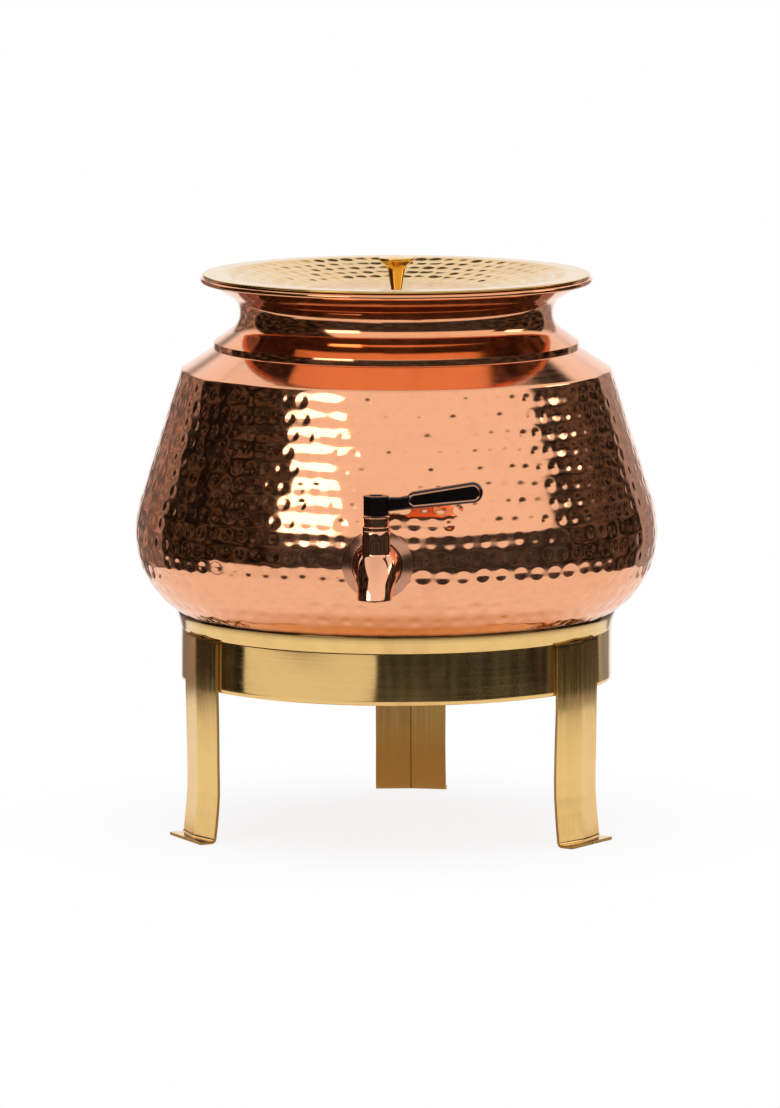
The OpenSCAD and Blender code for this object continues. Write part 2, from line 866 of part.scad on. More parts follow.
// Dished lid with a level border that rests on the rim
module lid_plate() {
    color(brass)
        rotate_extrude()
            polygon(sheet(lid_path, -lid_wall));
}

// Turned knob that widens upwards, with its threaded stud
module lid_knob() {
    edge_z = lid_middle_z + knob_h - knob_crown;
    flare_z = edge_z - knob_edge;
    profile = [
        [0, lid_middle_z, 0],
        [knob_waist_r, lid_middle_z, 0],
        [knob_waist_r, flare_z - knob_flare, knob_r],
        [knob_r, flare_z, edge_round],
        [knob_r, edge_z, edge_round],
        [0, lid_middle_z + knob_h, 0]
    ];
    color(gold)
        union() {
            rotate_extrude()
                polygon(rounded(profile));
            translate([0, 0, stud_end_z])
                cylinder(r = stud_r, h = lid_middle_z - stud_end_z + overcut);
        }
}

module lid_knob_washer() {
    color(brass)
        tube(stud_washer_r, stud_hole_r, stud_nut_z, lid_under_z);
}

module lid_knob_nut() {
    color(brass)
        difference() {
            hexagon(stud_nut_w, stud_nut_z - stud_nut_h, stud_nut_z);
            translate([0, 0, stud_nut_z - stud_nut_h - overcut])
                cylinder(r = stud_r + joint_gap, h = stud_nut_h + 2 * overcut);
        }
}

stand_band();
stand_seat_ring();
stand_leg_left();
stand_leg_right();
stand_leg_rear();
pot_body();
pot_neck();
tap_body();
tap_shank();
tap_rosette();
tap_front_gasket();
tap_rear_gasket();
tap_back_washer();
tap_lock_nut();
tap_bonnet();
tap_inlet_seat();
tap_outlet_seat();
tap_stem_oring();
tap_stem();
tap_ball();
tap_lever();
tap_lever_trim();
tap_lever_screw();
lid_plate();
lid_knob();
lid_knob_washer();
lid_knob_nut();
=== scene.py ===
"""Dresses a hammered copper water dispenser and sets it in a small white studio.

Every length is in metres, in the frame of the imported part: +Z up, the tap faces -Y.
"""
import logging
import math
from collections.abc import Callable, Sequence
from dataclasses import dataclass, replace
from enum import Enum
from functools import cache

import bpy
import numpy as np
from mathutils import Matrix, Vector


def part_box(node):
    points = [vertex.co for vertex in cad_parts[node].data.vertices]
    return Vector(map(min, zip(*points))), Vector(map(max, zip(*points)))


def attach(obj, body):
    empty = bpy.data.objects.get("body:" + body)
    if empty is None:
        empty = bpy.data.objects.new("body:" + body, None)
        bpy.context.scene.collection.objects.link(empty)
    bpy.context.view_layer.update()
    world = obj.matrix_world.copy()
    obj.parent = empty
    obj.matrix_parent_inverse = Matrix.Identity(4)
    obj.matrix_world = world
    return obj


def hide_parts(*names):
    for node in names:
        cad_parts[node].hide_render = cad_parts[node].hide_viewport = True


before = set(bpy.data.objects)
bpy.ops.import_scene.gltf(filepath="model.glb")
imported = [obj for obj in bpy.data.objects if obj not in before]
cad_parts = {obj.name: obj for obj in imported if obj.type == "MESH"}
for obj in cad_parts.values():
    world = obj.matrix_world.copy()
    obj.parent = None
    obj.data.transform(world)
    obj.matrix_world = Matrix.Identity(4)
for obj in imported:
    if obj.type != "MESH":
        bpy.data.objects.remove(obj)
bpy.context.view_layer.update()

LOG = logging.getLogger("dispenser")
MM = 0.001
TURN = 2.0 * math.pi

Colour = tuple[float, float, float]
Corner = tuple[float, float, float]
Point = tuple[float, float, float]
Socket = bpy.types.NodeSocket

WHITE: Colour = (1.0, 1.0, 1.0)


def box_of(node: str) -> tuple[Point, Point]:
    """Corners of a CAD node.

    Args:
        node: Name of the node.

    Returns:
        Its lowest and its highest corner.
    """
    low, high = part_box(node)
    return tuple(float(part) for part in low), tuple(float(part) for part in high)


def smooth_step(value: np.ndarray, start: float, end: float) -> np.ndarray:
    """Zero before the start and one after the end, with a smooth change between them."""
    share = np.clip((value - start) / (end - start), 0.0, 1.0)
    return share * share * (3.0 - 2.0 * share)


def signed_power(values: np.ndarray, power: float) -> np.ndarray:
    """Sizes of the values raised to a power, with the signs kept. A power below one squares off a circle."""
    return np.sign(values) * np.abs(values) ** power


# Outlines

FEWEST_ARC_POINTS = 3
SHORTEST_LEG = 0.02


def corner_arc(
    before: np.ndarray, corner: np.ndarray, after: np.ndarray, radius: float, step: float
) -> np.ndarray:
    """Arc that rounds a corner: it touches both legs and turns by the angle between them.

    Args:
        before: Point before the corner.
        corner: The corner.
        after: Point after the corner.
        radius: Radius of the arc.
        step: Angle between neighbouring points, in radians.

    Returns:
        Points of the arc, in the order of the path.
    """
    to_before = (before - corner) / np.linalg.norm(before - corner)
    to_after = (after - corner) / np.linalg.norm(after - corner)
    half = math.acos(float(np.clip(to_before @ to_after, -1.0, 1.0))) / 2.0
    start = corner + to_before * radius / math.tan(half)
    middle = to_before + to_after
    centre = corner + middle / np.linalg.norm(middle) * radius / math.sin(half)
    first = math.atan2(start[1] - centre[1], start[0] - centre[0])
    side = to_after[1] * to_before[0] - to_after[0] * to_before[1]
    sweep = -math.copysign(math.pi - 2.0 * half, side)
    count = max(FEWEST_ARC_POINTS, math.ceil(abs(sweep) / step) + 1)
    angles = first + sweep * np.linspace(0.0, 1.0, count)
    return centre + radius * np.column_stack([np.cos(angles), np.sin(angles)])


def rounded(path: Sequence[Corner], step: float = math.radians(2.0)) -> np.ndarray:
    """Path of straight legs whose corners are arcs.

    Args:
        path: Corners as (radius, height, rounding).
        step: Angle between neighbouring points of an arc, in radians.

    Returns:
        Points of the path.
    """
    places = np.array([corner[:2] for corner in path])
    runs = [places[:1]]
    for i in range(1, len(path) - 1):
        if path[i][2] > 0.0:
            runs.append(corner_arc(places[i - 1], places[i], places[i + 1], path[i][2], step))
        else:
            runs.append(places[i:i + 1])
    runs.append(places[-1:])
    return np.vstack(runs)


def left_normals(points: np.ndarray) -> np.ndarray:
    """Unit normals on the left of a path, from the difference of each point's neighbours.

    Args:
        points: Points of the path.

    Returns:
        A normal for each point.
    """
    along = np.gradient(points, axis=0)
    normals = np.column_stack([-along[:, 1], along[:, 0]])
    return normals / np.linalg.norm(normals, axis=1, keepdims=True)


def loop_normals(points: np.ndarray) -> np.ndarray:
    """Unit normals on the left of a closed path."""
    return left_normals(np.vstack([points[-1:], points, points[:1]]))[1:-1]


def path_length(points: np.ndarray) -> np.ndarray:
    """Distance of each point of a path from its start, along the path."""
    legs = np.linalg.norm(np.diff(points, axis=0), axis=1)
    return np.concatenate([[0.0], np.cumsum(legs)])


def resampled(points: np.ndarray, places: np.ndarray) -> np.ndarray:
    """Points of a path at given distances from its start."""
    reach = path_length(points)
    return np.column_stack([np.interp(places, reach, points[:, k]) for k in range(points.shape[1])])


def filled(points: np.ndarray, step: float) -> np.ndarray:
    """Path with extra points, so that no leg is longer than a step and none is much shorter.

    Args:
        points: Points of the path.
        step: Longest leg.

    Returns:
        Points of the finer path.
    """
    reach = path_length(points)
    extra = np.arange(0.0, reach[-1], step)
    places = np.unique(np.concatenate([reach, extra]))
    return resampled(points, places[np.diff(places, append=math.inf) > SHORTEST_LEG * step])


def sheet(outer: np.ndarray, wall: float, edge_points: int = 5) -> np.ndarray:
    """Closed section of a sheet.

    It is the path, a round edge, the path moved to its left by the wall, and another round edge.

    Args:
        outer: Points of the path.
        wall: Thickness of the sheet.
        edge_points: Points on each round edge.

    Returns:
        Points of the closed section.
    """
    inner = (outer + left_normals(outer) * wall)[::-1]
    turns = np.linspace(0.0, math.pi, edge_points + 2)[1:-1, None]

    def edge(start: np.ndarray, end: np.ndarray) -> np.ndarray:
        """Half circle from one point to another, on the right of the line between them.

        Args:
            start: Point where it starts.
            end: Point where it ends.

        Returns:
            Points between the two.
        """
        half = (end - start) / 2.0
        across = np.array([half[1], -half[0]])
        return (start + end) / 2.0 - np.cos(turns) * half + np.sin(turns) * across

    return np.vstack([outer, edge(outer[-1], inner[0]), inner, edge(inner[-1], outer[0])])


# Surfaces


@dataclass
class Axis:
    """Straight line that pieces are turned about, with two directions square to it."""

    origin: Point
    along: Point
    side: Point

    def place(self, radius: np.ndarray, angle: np.ndarray, height: np.ndarray) -> np.ndarray:
        """Points at a distance from the axis, an angle about it and a height along it.

        Args:
            radius: Distances from the axis.
            angle: Angles about the axis.
            height: Heights along the axis.

        Returns:
            Points, with one more dimension than the arguments.
        """
        along = np.array(self.along)
        side = np.array(self.side)
        other = np.cross(along, side)
        round_part = np.cos(angle)[..., None] * side + np.sin(angle)[..., None] * other
        return np.array(self.origin) + radius[..., None] * round_part + height[..., None] * along

    def turn(self, radius: np.ndarray, height: np.ndarray) -> np.ndarray:
        """Grid of points with the columns spread evenly around the axis."""
        return self.place(radius, np.broadcast_to(around(radius.shape[1]), radius.shape), height)


def upright_at(y: float, z: float) -> Axis:
    """Upright axis in the middle plane of the part."""
    return Axis((0.0, y, z), (0.0, 0.0, 1.0), (1.0, 0.0, 0.0))


UPRIGHT = upright_at(0.0, 0.0)


def spread(section: np.ndarray, segments: int) -> list[np.ndarray]:
    """Radius and height of each point of a section, repeated around."""
    return [np.repeat(section[:, k:k + 1], segments, axis=1) for k in range(2)]


def around(segments: int) -> np.ndarray:
    """Evenly spaced angles of a whole turn."""
    return np.arange(segments) * TURN / segments


def grid_quads(rows: int, columns: int, wrap_rows: bool = False, wrap_columns: bool = True) -> np.ndarray:
    """Quads between the neighbouring points of a grid.

    Args:
        rows: Number of rows.
        columns: Number of points in a row.
        wrap_rows: Whether the last row joins the first.
        wrap_columns: Whether each row is closed.

    Returns:
        Corner numbers, four in a line.
    """
    index = np.arange(rows * columns).reshape(rows, columns)
    if wrap_rows:
        index = np.vstack([index, index[:1]])
    if wrap_columns:
        index = np.hstack([index, index[:, :1]])
    corners = [index[:-1, :-1], index[:-1, 1:], index[1:, 1:], index[1:, :-1]]
    return np.stack(corners, axis=-1).reshape(-1, 4)


def fan(centre: int, ring: np.ndarray, flip: bool = False) -> np.ndarray:
    """Triangles between a point and the neighbours on a ring.

    Args:
        centre: Number of the point.
        ring: Numbers of the ring's points.
        flip: Whether the triangles run the other way round.

    Returns:
        Corner numbers, three in a line.
    """
    pair = [np.roll(ring, -1), ring] if flip else [ring, np.roll(ring, -1)]
    return np.column_stack([np.full(len(ring), centre), *pair])


@dataclass
class Surface:
    """Points and faces of a piece while it is worked out."""

    points: np.ndarray
    quads: np.ndarray
    tris: np.ndarray | None = None
    normals: np.ndarray | None = None

    def faces(self) -> list[np.ndarray]:
        """The quads, and the triangles if there are any."""
        return [self.quads] if self.tris is None else [self.quads, self.tris]

    def turned_outwards(self) -> "Surface":
        """The same surface with its faces reversed if the volume inside them would be negative.

        Returns:
            The surface itself.
        """
        halves = [self.quads[:, [0, 1, 2]], self.quads[:, [0, 2, 3]], *self.faces()[1:]]
        a, b, c = (self.points[np.vstack(halves)[:, k]] for k in range(3))
        if float(np.einsum("ij,ij->", a, np.cross(b, c))) < 0.0:
            self.quads = self.quads[:, ::-1]
            if self.tris is not None:
                self.tris = self.tris[:, ::-1]
        return self

    def mesh(self, name: str, crease: float) -> bpy.types.Mesh:
        """Blender mesh of the surface.

        Args:
            name: Name of the mesh.
            crease: Angle from which an edge stays sharp, in radians.

        Returns:
            The mesh, smooth apart from its sharp edges.
        """
        corners = np.concatenate([f.ravel() for f in self.faces()]).astype(np.int32)
        totals = np.concatenate([np.full(len(f), f.shape[1]) for f in self.faces()]).astype(np.int32)
        starts = np.concatenate([[0], np.cumsum(totals)[:-1]]).astype(np.int32)
        mesh = bpy.data.meshes.new(name)
        mesh.vertices.add(len(self.points))
        mesh.vertices.foreach_set("co", self.points.astype(np.float32).ravel())
        mesh.loops.add(len(corners))
        mesh.loops.foreach_set("vertex_index", corners)
        mesh.polygons.add(len(totals))
        mesh.polygons.foreach_set("loop_start", starts)
        mesh.polygons.foreach_set("loop_total", totals)
        mesh.polygons.foreach_set("use_smooth", np.ones(len(totals), dtype=bool))
        mesh.update(calc_edges=True)
        if self.normals is not None:
            mesh.normals_split_custom_set_from_vertices(self.normals)
        else:
            mesh.set_sharp_from_angle(angle=crease)
        return mesh


def turned(
    section: np.ndarray, segments: int, axis: Axis = UPRIGHT, depth: np.ndarray | float = 0.0
) -> Surface:
    """Ring made by turning a closed section about an axis.

    A point is radius times the direction of its angle, plus its height along the axis. A depth sinks it
    against the normal of the section.

    Args:
        section: Closed section as (radius, height).
        segments: Points around.
        axis: The axis.
        depth: Depth of each point of the grid, or of all.

    Returns:
        The closed ring.
    """
    normals = loop_normals(section)
    sunk = np.broadcast_to(depth, (len(section), segments))
    grid = axis.turn(section[:, :1] + normals[:, :1] * sunk, section[:, 1:] + normals[:, 1:] * sunk)
    quads = grid_quads(len(section), segments, wrap_rows=True)
    return Surface(grid.reshape(-1, 3), quads).turned_outwards()


def capped(grid: np.ndarray, ends: np.ndarray) -> Surface:
    """Solid made of the closed rows of a grid, with a fan over each end.

    Args:
        grid: Points, by row and by place in the row.
        ends: Middles of the two fans.

    Returns:
        The closed solid.
    """
    rows, columns = grid.shape[:2]
    first = np.arange(columns)
    pole = rows * columns
    fans = [fan(pole, first, flip=True), fan(pole + 1, first + (rows - 1) * columns)]
    points = np.vstack([grid.reshape(-1, 3), ends])
    return Surface(points, grid_quads(rows, columns), np.vstack(fans)).turned_outwards()


def turned_solid(profile: np.ndarray, segments: int, axis: Axis = UPRIGHT) -> Surface:
    """Solid made by turning a profile that starts and ends on the axis.

    Args:
        profile: Points as (radius, height); the first and the last lie on the axis.
        segments: Points around.
        axis: The axis.

    Returns:
        The closed solid.
    """
    ends = axis.place(np.zeros(2), np.zeros(2), profile[[0, -1], 1])
    return capped(axis.turn(*spread(profile[1:-1], segments)), ends)


def carried(sections: np.ndarray) -> Surface:
    """Solid made of closed sections that follow each other along a path, by section and place in it."""
    return capped(sections, np.array([sections[0].mean(0), sections[-1].mean(0)]))


# Shader graphs

MIX_FACTOR = 0
MIX_FIRST = 6
MIX_SECOND = 7
MIX_RESULT = 2


class Graph:
    """Node tree with short ways to add and join nodes."""

    def __init__(self, tree: bpy.types.NodeTree) -> None:
        """Keeps the tree and empties it."""
        self.tree = tree
        tree.nodes.clear()

    def add(
        self, kind: str, inputs: dict[str | int, object] | None = None, **settings: object
    ) -> bpy.types.Node:
        """New node with its settings and its inputs.

        Args:
            kind: Type of the node.
            inputs: Outputs to link or plain values, by the name or the number of the input.
            **settings: Values of the node's own properties.

        Returns:
            The node.
        """
        node = self.tree.nodes.new(kind)
        for key, value in settings.items():
            setattr(node, key, value)
        for key, value in (inputs or {}).items():
            if isinstance(value, Socket):
                self.tree.links.new(value, node.inputs[key])
            else:
                node.inputs[key].default_value = value
        return node

    def math(self, operation: str, *values: object) -> Socket:
        """Output of a Math node with numbers or outputs as its inputs."""
        return self.add("ShaderNodeMath", dict(enumerate(values)), operation=operation).outputs[0]

    def ramp(
        self, value: object, start: object, end: object, low: float = 0.0, high: float = 1.0
    ) -> Socket:
        """Smooth change from one value to another.

        Args:
            value: What is measured.
            start: Where the change starts.
            end: Where it ends.
            low: Result before the start.
            high: Result after the end.

        Returns:
            The result.
        """
        inputs = {"Value": value, "From Min": start, "From Max": end, "To Min": low, "To Max": high}
        node = self.add("ShaderNodeMapRange", inputs, interpolation_type="SMOOTHSTEP", clamp=True)
        return node.outputs[0]

    def window(self, value: object, low: float, high: float, soft: float) -> Socket:
        """One between two values and zero outside, with soft edges.

        Args:
            value: What is measured.
            low: Lower edge.
            high: Upper edge.
            soft: Half the width of each edge.

        Returns:
            The mask.
        """
        rise = self.ramp(value, low - soft, low + soft)
        fall = self.ramp(value, high - soft, high + soft, 1.0, 0.0)
        return self.math("MULTIPLY", rise, fall)

    def blend(self, factor: object, first: object, second: object) -> Socket:
        """Mix of two colours.

        Args:
            factor: Share of the second colour.
            first: First colour, as three numbers or an output.
            second: Second colour.

        Returns:
            The mixed colour.
        """
        colours = [c if isinstance(c, Socket) else (*c, 1.0) for c in (first, second)]
        inputs = {MIX_FACTOR: factor, MIX_FIRST: colours[0], MIX_SECOND: colours[1]}
        return self.add("ShaderNodeMix", inputs, data_type="RGBA").outputs[MIX_RESULT]

    def mixed(self, factor: object, first: Socket, second: Socket) -> Socket:
        """Mix of two shaders."""
        return self.add("ShaderNodeMixShader", {0: factor, 1: first, 2: second}).outputs[0]

    def stretched(self, scale: Sequence[float]) -> Socket:
        """Object coordinates multiplied by a scale for each direction."""
        place = self.add("ShaderNodeTexCoord").outputs["Object"]
        return self.add("ShaderNodeVectorMath", {0: place, 1: tuple(scale)}, operation="MULTIPLY").outputs[0]

    def noise(self, vector: Socket, **inputs: float) -> Socket:
        """Value of a Noise node, with its other inputs by name."""
        return self.add("ShaderNodeTexNoise", {"Vector": vector, **inputs}).outputs[0]

    def relief(self, height: Socket, distance: float) -> Socket:
        """Normal of a surface with a fine relief."""
        inputs = {"Strength": 1.0, "Distance": distance, "Height": height}
        return self.add("ShaderNodeBump", inputs).outputs[0]

    def group(self, tree: bpy.types.NodeTree, **inputs: object) -> Socket:
        """Output of a group, with its inputs by name."""
        return self.add("ShaderNodeGroup", inputs, node_tree=tree).outputs[0]


def new_group(name: str, inputs: Sequence[tuple[str, str]], output: str) -> tuple[Graph, bpy.types.Node]:
    """Empty shader group with its sockets.

    Args:
        name: Name of the group.
        inputs: Names and types of the inputs.
        output: Name of its one number output.

    Returns:
        The graph and the group's input node.
    """
    tree = bpy.data.node_groups.new(name, "ShaderNodeTree")
    for label, kind in inputs:
        tree.interface.new_socket(label, in_out="INPUT", socket_type=kind)
    tree.interface.new_socket(output, in_out="OUTPUT", socket_type="NodeSocketFloat")
    graph = Graph(tree)
    return graph, graph.add("NodeGroupInput")


def new_material(name: str) -> tuple[bpy.types.Material, Graph]:
    """Material with an empty graph.

    Args:
        name: Name of the material.

    Returns:
        The material and its graph.
    """
    material = bpy.data.materials.new(name)
    material.use_nodes = True
    return material, Graph(material.node_tree)


LINE_NOISE = {"Scale": 1.0, "Detail": 4.0, "Roughness": 0.62}
LINE_RANGE = (0.3, 0.7)
STAIN_NOISE = {"Scale": 1.0, "Detail": 5.0, "Distortion": 0.4}
STAIN_EDGE = 0.25


@cache
def tool_lines() -> bpy.types.NodeTree:
    """Fine lines left by a polishing wheel: noise that is drawn out along one direction.

    Returns:
        The group, from zero to one.
    """
    graph, start = new_group("tool_lines", [("Vector", "NodeSocketVector")], "Mask")
    noise = graph.noise(start.outputs["Vector"], **LINE_NOISE)
    graph.add("NodeGroupOutput", {"Mask": graph.ramp(noise, *LINE_RANGE)})
    return graph.tree


@cache
def stains() -> bpy.types.NodeTree:
    """Cloudy patches where a metal has dulled: noise above a threshold that sets how much is covered.

    Returns:
        The group, from zero to one.
    """
    inputs = [("Vector", "NodeSocketVector"), ("Cover", "NodeSocketFloat")]
    graph, start = new_group("stains", inputs, "Mask")
    noise = graph.noise(start.outputs["Vector"], **STAIN_NOISE)
    edge = graph.math("SUBTRACT", 1.0, start.outputs["Cover"])
    full = graph.math("ADD", edge, STAIN_EDGE)
    graph.add("NodeGroupOutput", {"Mask": graph.ramp(noise, edge, full)})
    return graph.tree


# Finishes

FOLD = "across_fold"
# Attribute that places painted shade where one piece rests on another.
CONTACT_SHADE = "painted_contact_shade"


class Grain(Enum):
    """Direction of a metal's tool lines, as lines per metre along X, Y and Z."""

    SPUN = (7.0, 7.0, 1500.0)
    UPRIGHT = (900.0, 900.0, 9.0)
    CAST = (260.0, 260.0, 260.0)


@dataclass(frozen=True)
class Metal:
    """Polished metal with tool lines, dull patches, an uneven shine and a haze of fine scratches.

    A seam is painted shade: a narrow dark line along the fold of a strip. Painted shade also darkens
    where another piece rests.
    """

    name: str
    colour: Colour
    stain: Colour
    cover: float
    shine: float
    shine_spread: float
    grain: Grain
    line_depth: float
    haze: float = 0.0
    haze_shares: tuple[float, float] = (0.2, 2.0)
    haze_cover: float = 0.50
    haze_roughness: float = 0.6
    haze_scale: Point = (120.0, 120.0, 150.0)
    stain_scale: Point = (28.0, 28.0, 28.0)
    # Painted shade: the seam fields set a dark line along a strip's crease, the next two a dark band where
    # another piece rests.
    seam: float = 0.0
    crease_shade_share: float = 0.8
    crease_shade_tone: float = 0.25
    contact_shade: bool = False
    contact_shade_tone: float = 0.22

    @cache
    def material(self) -> bpy.types.Material:
        """The finish as a material, made once.

        Returns:
            The material.
        """
        material, graph = new_material(self.name)
        lines = graph.group(tool_lines(), Vector=graph.stretched(self.grain.value))
        dull = graph.group(stains(), Vector=graph.stretched(self.stain_scale), Cover=self.cover)
        colour = graph.blend(dull, self.colour, self.stain)
        # Painted shade: a narrow dark line along the crease of a strip.
        if self.seam > 0.0:
            fold = graph.add("ShaderNodeAttribute", attribute_name=FOLD).outputs["Fac"]
            line = graph.ramp(graph.math("ABSOLUTE", fold), 0.0, self.seam, self.crease_shade_share, 0.0)
            colour = graph.blend(line, colour, self.painted_shade_colour(self.crease_shade_tone))
        # Painted shade where another piece rests on this one.
        if self.contact_shade:
            dark = graph.add("ShaderNodeAttribute", attribute_name=CONTACT_SHADE).outputs["Fac"]
            colour = graph.blend(dark, colour, self.painted_shade_colour(self.contact_shade_tone))
        normal = graph.relief(lines, self.line_depth)
        uneven = graph.math("MULTIPLY_ADD", lines, self.shine_spread, self.shine)
        uneven = graph.math("MULTIPLY_ADD", dull, self.shine_spread, uneven)
        surface = self.shader(graph, colour, uneven, normal)
        if self.haze > 0.0:
            scratched = graph.group(stains(), Vector=graph.stretched(self.haze_scale), Cover=self.haze_cover)
            least, more = (part * self.haze for part in self.haze_shares)
            share = graph.math("MULTIPLY_ADD", scratched, more, least)
            surface = graph.mixed(share, surface, self.shader(graph, colour, self.haze_roughness, normal))
        graph.add("ShaderNodeOutputMaterial", {"Surface": surface})
        return material

    def painted_shade_colour(self, share: float) -> Colour:
        """Colour of the painted shade: a darker tone of the dull patches."""
        return tuple(part * share for part in self.stain)

    def shader(self, graph: Graph, colour: Socket, roughness: object, normal: Socket) -> Socket:
        """Metallic shader of the finish.

        Args:
            graph: The material's graph.
            colour: Colour of the metal.
            roughness: Roughness, as a number or an output.
            normal: Normal with the tool lines.

        Returns:
            The shader's output.
        """
        inputs = {"Base Color": colour, "Metallic": 1.0, "Roughness": roughness, "Normal": normal}
        return graph.add("ShaderNodeBsdfPrincipled", inputs).outputs[0]


@dataclass(frozen=True)
class Moulded:
    """Plastic or rubber with a fine moulded skin and slight changes of tone."""

    name: str
    colour: Colour
    worn: Colour
    roughness: float
    skin_scale: float
    skin_depth: float
    wear_scale: float = 60.0
    wear_cover: float = 0.5
    wear_roughness: float = 0.08

    @cache
    def material(self) -> bpy.types.Material:
        """The finish as a material, made once.

        Returns:
            The material.
        """
        material, graph = new_material(self.name)
        skin = graph.group(tool_lines(), Vector=graph.stretched((self.skin_scale,) * 3))
        wear = graph.group(stains(), Vector=graph.stretched((self.wear_scale,) * 3), Cover=self.wear_cover)
        inputs = {
            "Base Color": graph.blend(wear, self.colour, self.worn),
            "Roughness": graph.math("MULTIPLY_ADD", wear, self.wear_roughness, self.roughness),
            "Normal": graph.relief(skin, self.skin_depth),
        }
        surface = graph.add("ShaderNodeBsdfPrincipled", inputs).outputs[0]
        graph.add("ShaderNodeOutputMaterial", {"Surface": surface})
        return material


Finish = Metal | Moulded

# The bowl is painted darker where it rests in the stand: painted shade.
HAMMERED_COPPER = Metal(
    "hammered_copper", (0.93, 0.43, 0.235), (0.84, 0.36, 0.19),
    cover=0.42, shine=0.07, shine_spread=0.05, grain=Grain.SPUN, line_depth=1.0e-6, haze=0.06, contact_shade=True,
)
SPUN_COPPER = Metal(
    "spun_copper", (0.90, 0.39, 0.19), (0.80, 0.31, 0.14),
    cover=0.40, shine=0.07, shine_spread=0.05, grain=Grain.SPUN, line_depth=1.2e-6, haze=0.04,
)
BRUSHED_BRASS = Metal(
    "brushed_brass", (0.85, 0.55, 0.21), (0.60, 0.32, 0.11),
    cover=0.42, shine=0.08, shine_spread=0.05, grain=Grain.SPUN, line_depth=1.0e-6, haze=0.03,
    stain_scale=(30.0, 30.0, 9.0),
)
# The seat ring's lip is painted darker where the pot rests on it: painted shade.
LIP_BRASS = replace(BRUSHED_BRASS, name="lip_brass", contact_shade=True)
STRIP_BRASS = Metal(
    "strip_brass", (0.86, 0.55, 0.20), (0.70, 0.40, 0.13),
    cover=0.42, shine=0.12, shine_spread=0.08, grain=Grain.UPRIGHT, line_depth=2.5e-6, haze=0.03,
)
# Rougher brass for a leg's inner face and cut edges, its colour darkened as painted shade, with a painted
# dark line along the crease.
ROUGH_SHADED_BRASS = Metal(
    "rough_shaded_brass", (0.44, 0.27, 0.09), (0.33, 0.19, 0.06),
    cover=0.40, shine=0.22, shine_spread=0.10, grain=Grain.UPRIGHT, line_depth=3.0e-6, haze=0.05,
    seam=0.8 * MM,
)
LID_BRASS = Metal(
    "lid_brass", (0.80, 0.50, 0.17), (0.72, 0.42, 0.13),
    cover=0.40, shine=0.09, shine_spread=0.06, grain=Grain.CAST, line_depth=1.0e-6, haze=0.03,
)
KNOB_BRASS = Metal(
    "turned_brass", (0.95, 0.57, 0.12), (0.86, 0.46, 0.07),
    cover=0.38, shine=0.14, shine_spread=0.05, grain=Grain.SPUN, line_depth=1.5e-6,
)
COPPER_PLATE = Metal(
    "bright_copper_plate", (0.91, 0.44, 0.26), (0.84, 0.38, 0.21),
    cover=0.36, shine=0.03, shine_spread=0.03, grain=Grain.CAST, line_depth=0.2e-6,
)
BRUSHED_PLATE = Metal(
    "brushed_plate", (0.56, 0.27, 0.17), (0.44, 0.20, 0.12),
    cover=0.40, shine=0.20, shine_spread=0.06, grain=Grain.CAST, line_depth=0.8e-6, haze=0.05,
)
CHROME = Metal(
    "bright_chrome", (0.66, 0.66, 0.68), (0.55, 0.55, 0.56),
    cover=0.38, shine=0.10, shine_spread=0.05, grain=Grain.CAST, line_depth=0.8e-6,
)
LEVER_BLACK = Moulded(
    "lever_black", (0.006, 0.003, 0.003), (0.010, 0.006, 0.006),
    roughness=0.14, skin_scale=900.0, skin_depth=0.8e-6,
)
RUBBER = Moulded(
    "black_rubber", (0.022, 0.022, 0.024), (0.045, 0.044, 0.045),
    roughness=0.62, skin_scale=1200.0, skin_depth=8.0e-6,
)
SEAT_NYLON = Moulded(
    "seat_nylon", (0.78, 0.76, 0.68), (0.70, 0.68, 0.60),
    roughness=0.42, skin_scale=1500.0, skin_depth=3.0e-6,
)


# Pieces

SHARP_EDGE = math.radians(38.0)
# Strength of the painted shade where one piece rests on another.
CONTACT_SHADE_SHARE = 0.85


def put(name: str, data: bpy.types.ID) -> bpy.types.Object:
    """New object in the scene.

    Args:
        name: Name of the object.
        data: Its mesh, camera or light.

    Returns:
        The object.
    """
    thing = bpy.data.objects.new(name, data)
    bpy.context.scene.collection.objects.link(thing)
    return thing


def add_surface(
    surface: Surface, name: str, finish: Finish, body: str, slot: str, *nodes: str, crease: float = SHARP_EDGE
) -> bpy.types.Object:
    """Puts a worked-out surface into the scene as a piece of the object.

    Args:
        surface: The surface, in the frame of the part.
        name: Name of the piece.
        finish: Its finish.
        body: The CAD body that it moves with.
        slot: Not used.
        *nodes: The CAD nodes that it stands for.
        crease: Angle from which an edge stays sharp, in radians.

    Returns:
        The piece.
    """
    mesh = surface.mesh(name, crease)
    mesh.materials.append(finish.material())
    piece = put(name, mesh)
    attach(piece, body)
    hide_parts(*nodes)
    LOG.info("%s: %d points on %s", name, len(mesh.vertices), body)
    return piece


def mark(piece: bpy.types.Object, name: str, values: np.ndarray) -> None:
    """Keeps a number for each point of a piece, for its material."""
    piece.data.attributes.new(name, "FLOAT", "POINT").data.foreach_set("value", values)


def dress(finish: Finish, *nodes: str) -> None:
    """Gives CAD nodes their finish.

    Args:
        finish: The finish.
        *nodes: Names of the nodes.
    """
    for node in nodes:
        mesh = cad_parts[node].data
        mesh.materials.clear()
        mesh.materials.append(finish.material())
        LOG.info("%s keeps its CAD shape", node)


